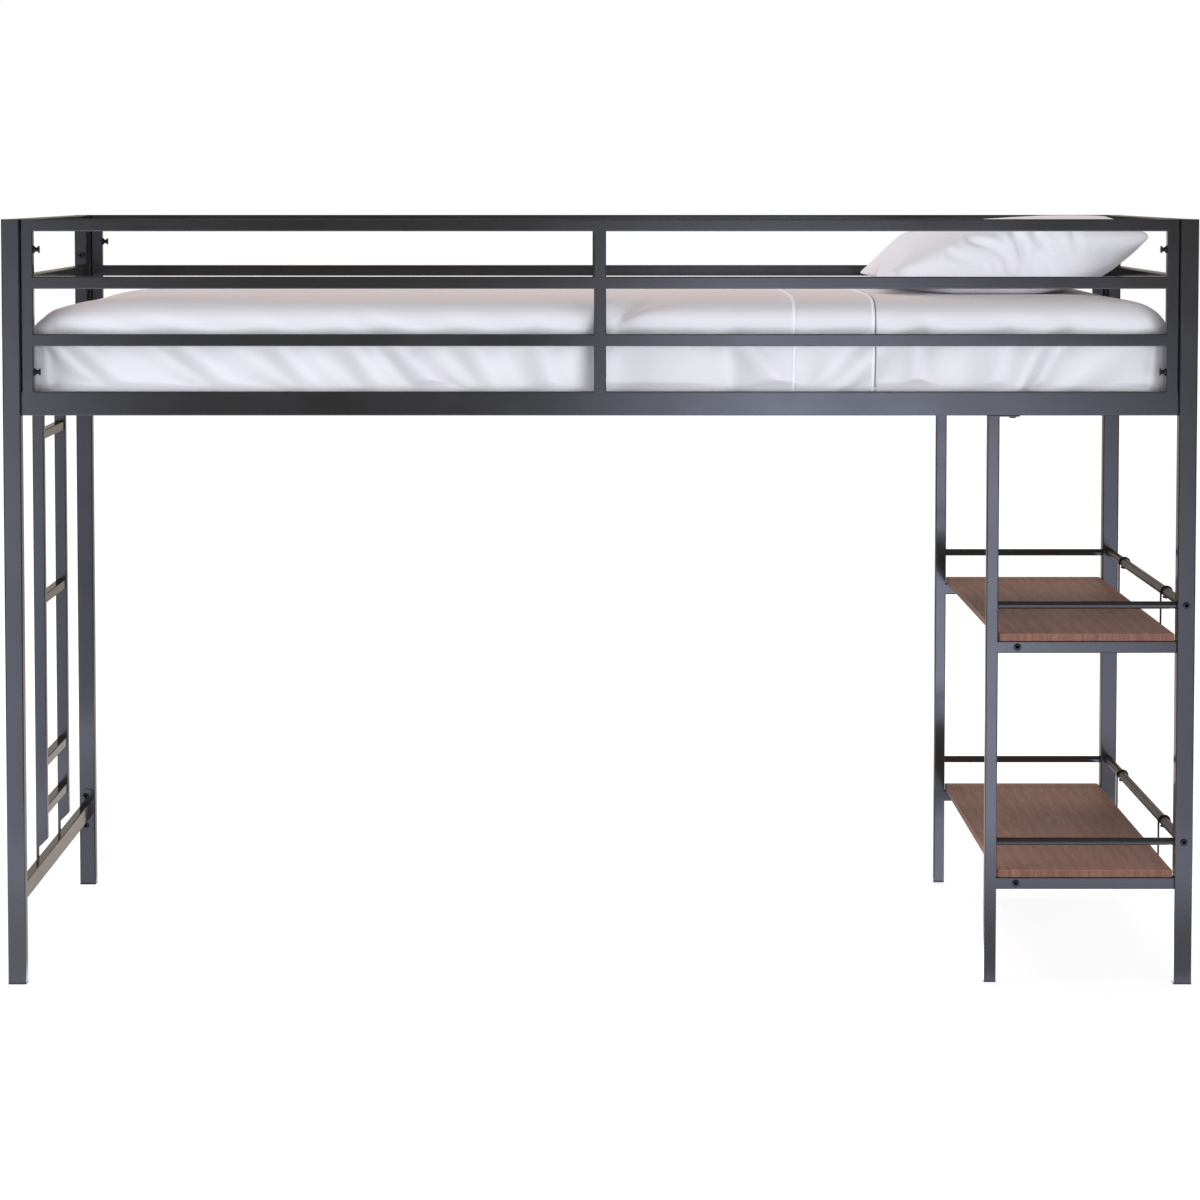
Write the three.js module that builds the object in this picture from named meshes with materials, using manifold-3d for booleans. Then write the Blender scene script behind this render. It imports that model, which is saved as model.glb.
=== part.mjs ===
// Twin loft bed with two end shelves: a bolted frame of square steel tube with guard rails
// all round, a fixed ladder at one end, two shelves at the other, slats, mattress and pillow.
// Millimetres, +Z up. X runs from the ladder end to the shelf end and Y from front to back.
// The origin lies on the floor under the middle of the frame.

import * as THREE from 'three';
import { mergeVertices } from 'three/addons/utils/BufferGeometryUtils.js';
import Module from 'manifold-3d';

// ---------------------------------------------------------------- driving dimensions

const frame = { length: 1980, width: 1054, height: 1278 };

const post = { size: 30, wall: 1.2, corner: 2, topPlate: 1.5 };
const foot = { flange: 3, plug: 18, fit: 0.3, ribs: 3, ribHeight: 2, ribDepth: 1.5 };

// Square tube of the panels, ladder stiles and shelf frames.
const tube = { size: 20, wall: 1.2, corner: 1.5 };

// Guard rails hang down from the top of the posts at one pitch; the bed rail is the last.
const guard = { count: 3, pitch: 95, postGap: 1.5 };
const bedRail = { height: 40, postGap: 1.1 };
const ledge = { width: 22, thickness: 2, drop: 33, endGap: 20 };

const bolt = {
  shank: 6,
  hole: 6.8,
  spoolLength: 10,
  spoolWide: 12.7,
  spoolNeck: 6.6,
  rim: 1.4,
  socket: 5.4,
  socketDepth: 3.5,
  bite: 9,
  seat: 0.2,
  tip: 1.2,
};
const insert = { diameter: 9.6, length: 8 };
const sideBolts = { belowTop: 50, aboveBedRail: 32 };
const endBolts = { belowTop: 76, aboveBedRail: 52 };

const lowerRail = { bottom: 127.5, height: 30, depth: 15 };
const endPlate = { width: 26, height: 84, thickness: 2.5, boltSpread: 57 };

const ladder = { width: 330, tab: 3, tabLap: 25, footGap: 15.5, headGap: 1, vent: 5 };
const rung = { size: 16, firstBelowBedRail: 46, pitch: 288.5, regular: 3, stepDrop: 85 };

const shelf = { tops: [577, 180], inset: 327, floorGap: 3, galleryRise: 59.5, rod: 12.7 };
const board = { thickness: 12, uprightGap: 1.5, postGap: 3, faceInset: 2, corner: 3, edge: 0.8 };
const crossBar = { fromUpright: 32, endWall: 2.5 };
const topTab = { length: 33.5, thickness: 2, holeFromEnd: 11 };
const galleryTube = { diameter: 16, wall: 1.2, endWall: 2.5 };
const hanger = { wire: 3.4, gap: 0.35, fromMiddle: 285, toe: 26, bend: 5, opening: 52 };

const slat = { count: 12, width: 38, height: 12, wall: 1.5, endGap: 1, firstFromEnd: 85 };

const mattress = { top: 1147, endGap: 12.5, sideGap: 10, corner: 70, edge: 38, gap: 0.4 };
const pillow = {
  length: 470,
  width: 690,
  thickness: 120,
  drawIn: 0.035,
  tilt: 6.9,
  settle: 16,
  fromShelfEnd: 44,
  towardBack: 60,
  gap: 0.4,
};

// How far a drill stands out past what it cuts, and the length of one that cuts one wall only.
const overcut = 2;
const wallDrill = 5;

// ---------------------------------------------------------------- derived places

const half = { length: frame.length / 2, width: frame.width / 2 };
const postLine = { x: half.length - post.size / 2, y: half.width - post.size / 2 };
const postFace = { x: half.length - post.size, y: half.width - post.size };
const railTops = Array.from({ length: guard.count }, (_, row) => frame.height - row * guard.pitch);
const bedRailTop = frame.height - guard.count * guard.pitch;
const bedRailBottom = bedRailTop - bedRail.height;
const bedRailMiddle = bedRailTop - bedRail.height / 2;
const ledgeTop = bedRailTop - ledge.drop;
const panelInner = postLine.y - tube.size / 2;
const sideBoltHeights = [frame.height - sideBolts.belowTop, bedRailTop + sideBolts.aboveBedRail];
const endBoltHeights = [frame.height - endBolts.belowTop, bedRailTop + endBolts.aboveBedRail];
const lowerRailMiddle = lowerRail.bottom + lowerRail.height / 2;
const lowerRailTop = lowerRail.bottom + lowerRail.height;
const lowerBoltHeights = [-1, 1].map((way) => lowerRailMiddle + (way * endPlate.boltSpread) / 2);
const stileLine = ladder.width / 2 - tube.size / 2;
const endPanelOuter = postLine.x + tube.size / 2;
const ladderOuter = endPanelOuter + ladder.tab;
const uprightX = [half.length - shelf.inset - tube.size, half.length - shelf.inset];
const crossBarX = uprightX[1] + crossBar.fromUpright;
const galleryHeights = shelf.tops.map((top) => top + shelf.galleryRise);
const tabHoleX = uprightX[1] + topTab.length - topTab.holeFromEnd;

const levels = ['upper', 'lower'];
const sides = [{ name: 'front', way: -1 }, { name: 'back', way: 1 }];
const ends = [{ name: 'ladder_end', way: -1 }, { name: 'shelf_end', way: 1 }];

// ---------------------------------------------------------------- materials

const paint = { color: 0x55575f, roughness: 0.42, metalness: 0.35 };
const blackSteel = { color: 0x17171a, roughness: 0.38, metalness: 0.55 };
const blackPlastic = { color: 0x1b1b1d, roughness: 0.6, metalness: 0 };
const darkRod = { color: 0x2a2b2e, roughness: 0.36, metalness: 0.4 };
const zinc = { color: 0x8f9296, roughness: 0.45, metalness: 0.7 };
const walnut = { color: 0x7a655c, roughness: 0.55, metalness: 0 };
const whiteCloth = { color: 0xe6e4ea, roughness: 0.95, metalness: 0 };

// ---------------------------------------------------------------- solid kernel

const wasm = await Module();
wasm.setup();

function toSolid(geometry) {
  const bare = geometry.clone();
  bare.deleteAttribute('normal');
  bare.deleteAttribute('uv');
  const welded = mergeVertices(bare);
  const vertProperties = new Float32Array(welded.attributes.position.array);
  const triVerts = new Uint32Array(welded.index.array);
  return new wasm.Manifold(new wasm.Mesh({ numProp: 3, vertProperties, triVerts }));
}

function toGeometry(solid) {
  const mesh = solid.getMesh();
  const geometry = new THREE.BufferGeometry();
  geometry.setAttribute('position', new THREE.BufferAttribute(mesh.vertProperties, 3));
  geometry.setIndex(new THREE.BufferAttribute(mesh.triVerts, 1));
  const faceted = geometry.toNonIndexed();
  faceted.computeVertexNormals();
  return faceted;
}

const unite = (geometries) => geometries.map(toSolid).reduce((sum, next) => sum.add(next));

function carve(bodies, hollows) {
  return toGeometry(unite(bodies).subtract(unite(hollows)));
}

// ---------------------------------------------------------------- shape helpers

const about = (middle, size) => [middle - size / 2, middle + size / 2];
const middleOf = ([low, high]) => (low + high) / 2;
const sizeOf = ([low, high]) => high - low;
const mirrored = (way, near, far) => [way * near, way * far].sort((a, b) => a - b);

function roundedRectangle(width, height, radius) {
  const x = width / 2 - radius;
  const y = height / 2 - radius;
  const shape = new THREE.Shape();
  shape.moveTo(x + radius, -y);
  shape.absarc(x, y, radius, 0, Math.PI / 2);
  shape.absarc(-x, y, radius, Math.PI / 2, Math.PI);
  shape.absarc(-x, -y, radius, Math.PI, 1.5 * Math.PI);
  shape.absarc(x, -y, radius, 1.5 * Math.PI, 2 * Math.PI);
  return shape;
}

// Turns a form that runs along +Z from its own origin so that it runs along the named axis.
function alongAxis(geometry, axis) {
  if (axis === 'x') geometry.rotateY(Math.PI / 2);
  if (axis === 'y') geometry.rotateX(-Math.PI / 2);
  return geometry;
}

const crossAxes = { x: ['z', 'y'], y: ['x', 'z'], z: ['x', 'y'] };

// A bar with rounded long edges that fills the given box.
function bar(axis, box, corner, curveSegments = 1) {
  const [across, up] = crossAxes[axis];
  const shape = roundedRectangle(sizeOf(box[across]), sizeOf(box[up]), corner);
  const depth = sizeOf(box[axis]);
  const geometry = new THREE.ExtrudeGeometry(shape, { depth, bevelEnabled: false, curveSegments });
  geometry.translate(0, 0, -depth / 2);
  alongAxis(geometry, axis);
  return geometry.translate(middleOf(box.x), middleOf(box.y), middleOf(box.z));
}

function block(box) {
  const geometry = new THREE.BoxGeometry(sizeOf(box.x), sizeOf(box.y), sizeOf(box.z));
  return geometry.translate(middleOf(box.x), middleOf(box.y), middleOf(box.z));
}

// A round bar or drill centred at a point.
function round(axis, diameter, length, centre, facets = 10) {
  const geometry = new THREE.CylinderGeometry(diameter / 2, diameter / 2, length, facets);
  geometry.rotateX(Math.PI / 2);
  alongAxis(geometry, axis);
  return geometry.translate(centre.x, centre.y, centre.z);
}

// The hollow inside a tube. Each end either stops short of the tube's end by its cap, or,
// where the cap is negative, runs on into the hollow of the tube that it is welded to.
function hollowOf(axis, box, wall, caps) {
  const inner = {};
  for (const name of ['x', 'y', 'z']) {
    const [low, high] = box[name];
    inner[name] = name === axis ? [low + caps[0], high - caps[1]] : [low + wall, high - wall];
  }
  return block(inner);
}

const through = -1;

// Adds one square tube of the welded frames to a weldment.
function addTube(weldment, axis, box, caps, section = tube) {
  weldment.bodies.push(bar(axis, box, section.corner));
  weldment.hollows.push(hollowOf(axis, box, section.wall, caps));
}

const newWeldment = () => ({ bodies: [], hollows: [] });
const finished = (weldment) => carve(weldment.bodies, weldment.hollows);

function drill(weldment, axis, centre, length) {
  weldment.hollows.push(round(axis, bolt.hole, length, centre));
}

// ---------------------------------------------------------------- scene graph

const bed = new THREE.Group();

function place(name, geometry, look, position = [0, 0, 0]) {
  const mesh = new THREE.Mesh(geometry, new THREE.MeshStandardMaterial(look));
  mesh.name = name;
  mesh.position.set(...position);
  bed.add(mesh);
  return mesh;
}

// ---------------------------------------------------------------- posts and feet

// A threaded insert pressed into a post wall, lying inside the tube.
function addInsert(weldment, axis, face, inward, centre) {
  const length = insert.length + post.wall;
  const middle = { ...centre, [axis]: face + (inward * length) / 2 };
  weldment.bodies.push(round(axis, insert.diameter, length, middle, 8));
  weldment.bores.push(round(axis, bolt.hole, length + overcut, middle));
}

function postGeometry(end, side) {
  const x = end.way * postLine.x;
  const y = side.way * postLine.y;
  const box = { x: about(x, post.size), y: about(y, post.size), z: [foot.flange, frame.height] };
  const inside = hollowOf('z', box, post.wall, [through, post.topPlate]);
  const shell = carve([bar('z', box, post.corner)], [inside]);
  const fittings = { bodies: [shell], bores: [] };
  for (const z of sideBoltHeights) addInsert(fittings, 'x', end.way * postFace.x, end.way, { y, z });
  for (const z of endBoltHeights) addInsert(fittings, 'y', side.way * postFace.y, side.way, { x, z });
  if (end.way < 0) {
    for (const z of lowerBoltHeights) addInsert(fittings, 'y', side.way * postFace.y, side.way, { x, z });
  } else {
    for (const z of galleryHeights) {
      fittings.bores.push(round('y', bolt.hole, post.size + overcut, { x, y, z }));
    }
  }
  return carve(fittings.bodies, fittings.bores);
}

// A ribbed plastic insert that closes the open foot of a square tube.
function footGeometry(outer, wall, corner) {
  const bore = outer - 2 * wall - 2 * foot.fit;
  const slab = (width, low, high) => ({ x: about(0, width), y: about(0, width), z: [low, high] });
  const core = slab(bore - 2 * foot.ribDepth, foot.flange / 2, foot.plug);
  const pieces = [bar('z', slab(outer, 0, foot.flange), corner), block(core)];
  for (let rib = 1; rib <= foot.ribs; rib += 1) {
    const z = foot.flange + (rib * (foot.plug - foot.flange)) / (foot.ribs + 1);
    pieces.push(block(slab(bore, z - foot.ribHeight / 2, z + foot.ribHeight / 2)));
  }
  return toGeometry(unite(pieces));
}

for (const end of ends) {
  for (const side of sides) {
    const tag = `${side.name}_${end.name}`;
    const spot = [end.way * postLine.x, side.way * postLine.y, 0];
    place(`post_${tag}`, postGeometry(end, side), paint);
    place(`post_foot_${tag}`, footGeometry(post.size, post.wall, post.corner), blackPlastic, spot);
  }
}

// ---------------------------------------------------------------- guard panels

// Guard rails between two stub posts, standing on the bed rail. The panel is drawn along
// its own run, with the run's length between the corner posts and its plane in place.
function addGuardRails(weldment, run, plane, planeAt, reach) {
  const inPlane = about(planeAt, tube.size);
  const box = (along, z) => ({ [run]: along, [plane]: inPlane, z });
  const stubOuter = reach - guard.postGap;
  const stubInner = stubOuter - tube.size;
  const bedRailReach = reach - bedRail.postGap;
  const bedRailBox = box([-bedRailReach, bedRailReach], [bedRailBottom, bedRailTop]);
  addTube(weldment, run, bedRailBox, [tube.wall, tube.wall]);
  for (const way of [-1, 1]) {
    const along = mirrored(way, stubInner, stubOuter);
    addTube(weldment, 'z', box(along, [bedRailTop - tube.corner, frame.height]), [through, tube.wall]);
  }
  const railReach = stubInner + tube.corner;
  for (const top of railTops) {
    addTube(weldment, run, box([-railReach, railReach], [top - tube.size, top]), [through, through]);
  }
  return stubInner + tube.size / 2;
}

function sidePanelGeometry(side) {
  const weldment = newWeldment();
  const y = side.way * postLine.y;
  const stubLine = addGuardRails(weldment, 'x', 'y', y, postFace.x);
  const middleHeight = [bedRailTop - tube.corner, frame.height - tube.size + tube.corner];
  const uprightBox = { x: about(0, tube.size), y: about(y, tube.size), z: middleHeight };
  addTube(weldment, 'z', uprightBox, [through, through]);
  const ledgeReach = postFace.x - ledge.endGap;
  const ledgeY = mirrored(side.way, panelInner - ledge.width, panelInner + tube.wall / 2);
  const ledgeZ = [ledgeTop - ledge.thickness, ledgeTop];
  weldment.bodies.push(block({ x: [-ledgeReach, ledgeReach], y: ledgeY, z: ledgeZ }));
  for (const way of [-1, 1]) {
    for (const z of sideBoltHeights) drill(weldment, 'x', { x: way * stubLine, y, z }, tube.size + overcut);
  }
  drill(weldment, 'z', { x: tabHoleX, y, z: bedRailBottom }, wallDrill);
  return finished(weldment);
}

function endPanelGeometry(end) {
  const weldment = newWeldment();
  const x = end.way * postLine.x;
  const stubLine = addGuardRails(weldment, 'y', 'x', x, postFace.y);
  for (const way of [-1, 1]) {
    for (const z of endBoltHeights) drill(weldment, 'y', { x, y: way * stubLine, z }, tube.size + overcut);
    if (end.way < 0) {
      const centre = { x: -endPanelOuter, y: way * stileLine, z: bedRailMiddle };
      drill(weldment, 'x', centre, wallDrill);
    }
  }
  return finished(weldment);
}

for (const side of sides) place(`side_panel_${side.name}`, sidePanelGeometry(side), paint);
for (const end of ends) place(`end_panel_${end.name}`, endPanelGeometry(end), paint);

// ---------------------------------------------------------------- panel bolts

// A bolt with a spool-shaped grip: wide rims, a waisted neck and a hexagon socket.
// It points along +Z and its under-side rests on z = 0.
function spoolBoltGeometry(reach) {
  const wide = bolt.spoolWide / 2;
  const neck = bolt.spoolNeck / 2;
  const shank = bolt.shank / 2;
  const length = bolt.spoolLength;
  const profile = [
    [0, -length],
    [wide, -length],
    [wide, bolt.rim - length],
    [neck, -length / 2],
    [wide, -bolt.rim],
    [wide, 0],
    [shank, 0],
    [shank, reach - bolt.tip],
    [shank - bolt.tip, reach],
    [0, reach],
  ].map(([radius, z]) => new THREE.Vector2(radius, z));
  const body = new THREE.LatheGeometry(profile, 10).rotateX(Math.PI / 2);
  const socket = new THREE.CylinderGeometry(bolt.socket / 2, bolt.socket / 2, 2 * bolt.socketDepth, 6);
  socket.rotateX(Math.PI / 2).translate(0, 0, -length);
  return toGeometry(toSolid(body).subtract(toSolid(socket)));
}

const boltReach = tube.size + guard.postGap + post.wall + bolt.bite;

function placeSpoolBolt(name, axis, way, stubFace, across, z) {
  const mesh = place(name, spoolBoltGeometry(boltReach), blackSteel);
  const seat = way * (stubFace - bolt.seat);
  if (axis === 'x') {
    mesh.position.set(seat, across, z);
    mesh.rotation.y = (way * Math.PI) / 2;
  } else {
    mesh.position.set(across, seat, z);
    mesh.rotation.x = (-way * Math.PI) / 2;
  }
}

const sideStubFace = postFace.x - guard.postGap - tube.size;
const endStubFace = postFace.y - guard.postGap - tube.size;

for (const side of sides) {
  for (const end of ends) {
    levels.forEach((level, row) => {
      const tag = `${side.name}_${end.name}_${level}`;
      const y = side.way * postLine.y;
      const x = end.way * postLine.x;
      placeSpoolBolt(`side_bolt_${tag}`, 'x', end.way, sideStubFace, y, sideBoltHeights[row]);
      placeSpoolBolt(`end_bolt_${tag}`, 'y', side.way, endStubFace, x, endBoltHeights[row]);
    });
  }
}

// ---------------------------------------------------------------- lower end rail

function lowerEndRailGeometry() {
  const weldment = newWeldment();
  const box = {
    x: [-endPanelOuter, lowerRail.depth - endPanelOuter],
    y: [endPlate.thickness - postFace.y, postFace.y - endPlate.thickness],
    z: [lowerRail.bottom, lowerRailTop],
  };
  addTube(weldment, 'y', box, [0, 0]);
  for (const side of sides) {
    const plateBox = {
      x: about(-postLine.x, endPlate.width),
      y: mirrored(side.way, postFace.y - endPlate.thickness, postFace.y),
      z: about(lowerRailMiddle, endPlate.height),
    };
    weldment.bodies.push(bar('y', plateBox, endPlate.width / 2 - 1, 3));
    const drillLength = 2 * (endPlate.thickness + overcut);
    for (const z of lowerBoltHeights) {
      drill(weldment, 'y', { x: -postLine.x, y: side.way * postFace.y, z }, drillLength);
    }
    const ladderHole = { x: -endPanelOuter, y: side.way * stileLine, z: lowerRailMiddle };
    drill(weldment, 'x', ladderHole, wallDrill);
  }
  return finished(weldment);
}

place('lower_end_rail', lowerEndRailGeometry(), paint);

// ---------------------------------------------------------------- ladder

// The side view of a stile: a square tube whose two ends are cut away at 45 degrees to a
// flat tab that laps the outer face of the rail above and of the rail below.
function stileOutline(inset) {
  const outer = inset - ladderOuter;
  const inner = outer + tube.size - 2 * inset;
  const tabFace = outer - inset + ladder.tab;
  const slope = inset * Math.SQRT2;
  const cutFoot = lowerRailTop + ladder.footGap + slope;
  const cutHead = bedRailBottom - ladder.headGap - slope;
  const run = inner - tabFace;
  const outline = new THREE.Shape();
  if (inset > 0) {
    outline.moveTo(outer, cutFoot + outer - tabFace);
    outline.lineTo(inner, cutFoot + run);
    outline.lineTo(inner, cutHead - run);
    outline.lineTo(outer, cutHead + tabFace - outer);
    return outline;
  }
  outline.moveTo(outer, lowerRailTop - ladder.tabLap);
  outline.lineTo(tabFace, lowerRailTop - ladder.tabLap);
  outline.lineTo(tabFace, cutFoot);
  outline.lineTo(inner, cutFoot + run);
  outline.lineTo(inner, cutHead - run);
  outline.lineTo(tabFace, cutHead);
  outline.lineTo(tabFace, bedRailBottom + ladder.tabLap);
  outline.lineTo(outer, bedRailBottom + ladder.tabLap);
  return outline;
}

// Extrudes an outline drawn in X and Z across a width that is centred at y.
function acrossWidth(outline, width, y) {
  const geometry = new THREE.ExtrudeGeometry(outline, { depth: width, bevelEnabled: false });
  geometry.rotateX(Math.PI / 2);
  return geometry.translate(0, y + width / 2, 0);
}

function rungTops() {
  const first = bedRailBottom - rung.firstBelowBedRail;
  const tops = Array.from({ length: rung.regular }, (_, row) => first - row * rung.pitch);
  return [...tops, tops[tops.length - 1] - rung.stepDrop];
}

function ladderGeometry() {
  const hollows = [];
  const stileX = [-ladderOuter, tube.size - ladderOuter];
  const stileZ = [lowerRailTop - ladder.tabLap, bedRailBottom + ladder.tabLap];
  let body = null;
  for (const way of [-1, 1]) {
    const y = way * stileLine;
    const blank = bar('z', { x: stileX, y: about(y, tube.size), z: stileZ }, tube.corner);
    const cutAway = acrossWidth(stileOutline(0), tube.size + overcut, y);
    const stile = toSolid(blank).intersect(toSolid(cutAway));
    body = body ? body.add(stile) : stile;
    hollows.push(acrossWidth(stileOutline(tube.wall), tube.size - 2 * tube.wall, y));
    for (const z of [lowerRailMiddle, bedRailMiddle]) {
      const centre = { x: ladder.tab / 2 - ladderOuter, y, z };
      hollows.push(round('x', bolt.hole, ladder.tab + overcut, centre));
    }
    const ventHeight = lowerRailTop + ladder.footGap + tube.size + ladder.vent;
    hollows.push(round('x', ladder.vent, wallDrill, { x: stileX[1], y, z: ventHeight }, 8));
  }
  const rungReach = stileLine - tube.size / 2 + tube.corner;
  const rungX = about(middleOf(stileX), rung.size);
  for (const top of rungTops()) {
    const box = { x: rungX, y: [-rungReach, rungReach], z: [top - rung.size, top] };
    body = body.add(toSolid(bar('y', box, tube.corner)));
    hollows.push(hollowOf('y', box, tube.wall, [through, through]));
  }
  return toGeometry(body.subtract(unite(hollows)));
}

place('ladder', ladderGeometry(), paint);

// ---------------------------------------------------------------- shelf frames

// An upright with two shelf rails and two gallery rods that reach to the corner post, and
// a tab at the head that is bolted up into the bed rail.
function shelfFrameGeometry(side) {
  const weldment = newWeldment();
  const y = side.way * postLine.y;
  const inPlane = about(y, tube.size);
  const tabBottom = bedRailBottom - topTab.thickness;
  const uprightZ = [shelf.floorGap + foot.flange, tabBottom];
  addTube(weldment, 'z', { x: uprightX, y: inPlane, z: uprightZ }, [through, 0]);
  const railX = [uprightX[1] - tube.corner, postFace.x];
  for (const top of shelf.tops) {
    addTube(weldment, 'x', { x: railX, y: inPlane, z: [top - tube.size, top] }, [through, tube.wall]);
    drill(weldment, 'y', { x: crossBarX, y, z: top - tube.size / 2 }, tube.size + overcut);
  }
  for (const z of galleryHeights) {
    const rodX = [uprightX[1] - tube.wall, postFace.x];
    weldment.bodies.push(round('x', shelf.rod, sizeOf(rodX), { x: middleOf(rodX), y, z }, 16));
  }
  const tabX = [uprightX[0], uprightX[1] + topTab.length];
  weldment.bodies.push(bar('z', { x: tabX, y: inPlane, z: [tabBottom, bedRailBottom] }, tube.corner));
  drill(weldment, 'z', { x: tabHoleX, y, z: tabBottom }, 2 * (topTab.thickness + overcut));
  return finished(weldment);
}

// A square tube under the board, bolted at both ends to the shelf rails.
function crossBarGeometry(top) {
  const weldment = newWeldment();
  const box = { x: about(crossBarX, tube.size), y: [-panelInner, panelInner], z: [top - tube.size, top] };
  addTube(weldment, 'y', box, [crossBar.endWall, crossBar.endWall]);
  for (const side of sides) {
    const centre = { x: crossBarX, y: side.way * panelInner, z: top - tube.size / 2 };
    drill(weldment, 'y', centre, 2 * (crossBar.endWall + overcut));
  }
  return finished(weldment);
}

// A board with eased edges that lies on the two shelf rails.
function boardGeometry(top) {
  const x = [uprightX[1] + board.uprightGap, postFace.x - board.postGap];
  const depth = 2 * (postLine.y + tube.size / 2 - board.faceInset);
  const ease = board.edge;
  const outline = roundedRectangle(sizeOf(x) - 2 * ease, depth - 2 * ease, board.corner - ease);
  const geometry = new THREE.ExtrudeGeometry(outline, {
    depth: board.thickness - 2 * ease,
    bevelSize: ease,
    bevelThickness: ease,
    bevelSegments: 1,
    curveSegments: 1,
  });
  return geometry.translate(middleOf(x), 0, top + ease);
}

function galleryTubeGeometry(z) {
  const length = 2 * postFace.y;
  const middle = { x: postLine.x, y: 0, z };
  const bore = galleryTube.diameter - 2 * galleryTube.wall;
  const shell = round('y', galleryTube.diameter, length, middle, 20);
  const inside = round('y', bore, length - 2 * galleryTube.endWall, middle, 20);
  return carve([shell], [inside, round('y', bolt.hole, length + overcut, middle)]);
}

for (const side of sides) {
  place(`shelf_frame_${side.name}`, shelfFrameGeometry(side), paint);
  const spot = [middleOf(uprightX), side.way * postLine.y, shelf.floorGap];
  place(`shelf_foot_${side.name}`, footGeometry(tube.size, tube.wall, tube.corner), blackPlastic, spot);
}
levels.forEach((level, row) => {
  place(`shelf_cross_bar_${level}`, crossBarGeometry(shelf.tops[row]), paint);
  place(`shelf_board_${level}`, boardGeometry(shelf.tops[row]), walnut);
  place(`gallery_tube_${level}`, galleryTubeGeometry(galleryHeights[row]), darkRod);
});

// ---------------------------------------------------------------- board hangers

class Arc3 extends THREE.Curve {
  constructor(centre, radius, from, to) {
    super();
    Object.assign(this, { centre, radius, from, to });
  }

  getPoint(t, target = new THREE.Vector3()) {
    const angle = this.from + (this.to - this.from) * t;
    const x = this.centre.x + this.radius * Math.cos(angle);
    const z = this.centre.z + this.radius * Math.sin(angle);
    return target.set(x, this.centre.y, z);
  }
}

// A wire looped round the gallery tube, hanging down beside the board and turned in under it.
function hangerGeometry(boardTop, tubeHeight, y) {
  const wireRadius = hanger.wire / 2;
  const loop = galleryTube.diameter / 2 + hanger.gap + wireRadius;
  const start = Math.PI + THREE.MathUtils.degToRad(hanger.opening);
  const ring = new Arc3(new THREE.Vector3(postLine.x, y, tubeHeight), loop, start, 3 * Math.PI);
  const toeHeight = boardTop - board.thickness - hanger.gap - wireRadius;
  const bendX = postLine.x - loop - hanger.bend;
  const turn = new Arc3(new THREE.Vector3(bendX, y, toeHeight + hanger.bend), hanger.bend, 0, -Math.PI / 2);
  const toeEnd = new THREE.Vector3(bendX - hanger.toe, y, toeHeight);
  const path = new THREE.CurvePath();
  path.add(ring);
  path.add(new THREE.LineCurve3(ring.getPoint(1), turn.getPoint(0)));
  path.add(turn);
  path.add(new THREE.LineCurve3(turn.getPoint(1), toeEnd));
  const section = new THREE.Shape().absarc(0, 0, wireRadius, 0, 2 * Math.PI);
  return new THREE.ExtrudeGeometry(section, { steps: 30, curveSegments: 3, extrudePath: path });
}

levels.forEach((level, row) => {
  for (const side of sides) {
    const boardTop = shelf.tops[row] + board.thickness;
    const wire = hangerGeometry(boardTop, galleryHeights[row], side.way * hanger.fromMiddle);
    place(`board_hanger_${level}_${side.name}`, wire, blackSteel);
  }
});

// ---------------------------------------------------------------- slats

// A steel channel, open below, that rests on the ledges of the two side panels.
function slatGeometry() {
  const { width, height, wall } = slat;
  const outline = new THREE.Shape();
  outline.moveTo(-width / 2, 0);
  outline.lineTo(wall - width / 2, 0);
  outline.lineTo(wall - width / 2, height - wall);
  outline.lineTo(width / 2 - wall, height - wall);
  outline.lineTo(width / 2 - wall, 0);
  outline.lineTo(width / 2, 0);
  outline.lineTo(width / 2, height);
  outline.lineTo(-width / 2, height);
  return acrossWidth(outline, 2 * (panelInner - slat.endGap), 0);
}

const slatSpan = frame.length - 2 * slat.firstFromEnd;
for (let index = 0; index < slat.count; index += 1) {
  const x = (index / (slat.count - 1) - 0.5) * slatSpan;
  place(`slat_${String(index + 1).padStart(2, '0')}`, slatGeometry(), zinc, [x, 0, ledgeTop]);
}

// ---------------------------------------------------------------- mattress and pillow

const mattressBottom = ledgeTop + slat.height + mattress.gap;

function mattressGeometry() {
  const { corner, edge } = mattress;
  const length = 2 * (postLine.x - tube.size / 2 - mattress.endGap);
  const width = 2 * (panelInner - mattress.sideGap);
  const outline = roundedRectangle(length - 2 * edge, width - 2 * edge, corner - edge);
  const geometry = new THREE.ExtrudeGeometry(outline, {
    depth: mattress.top - mattressBottom - 2 * edge,
    bevelSize: edge,
    bevelThickness: edge,
    bevelSegments: 4,
    curveSegments: 2,
  });
  return geometry.translate(0, 0, mattressBottom + edge);
}

// A plump cushion: two crowned faces that meet at a seam with slightly drawn-in sides.
function pillowGeometry() {
  const steps = 10;
  const geometry = new THREE.BoxGeometry(2, 2, 2, steps, steps, 1);
  const spots = geometry.attributes.position;
  for (let index = 0; index < spots.count; index += 1) {
    const u = Math.sin((spots.getX(index) * Math.PI) / 2);
    const v = Math.sin((spots.getY(index) * Math.PI) / 2);
    const crown = Math.sqrt(Math.max(0, 1 - u ** 4) * Math.max(0, 1 - v ** 4));
    const x = (u * (1 - pillow.drawIn * (1 - v * v) * u * u) * pillow.length) / 2;
    const y = (v * (1 - pillow.drawIn * (1 - u * u) * v * v) * pillow.width) / 2;
    spots.setXYZ(index, x, y, (Math.sign(spots.getZ(index)) * crown * pillow.thickness) / 2);
  }
  return geometry;
}

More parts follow.
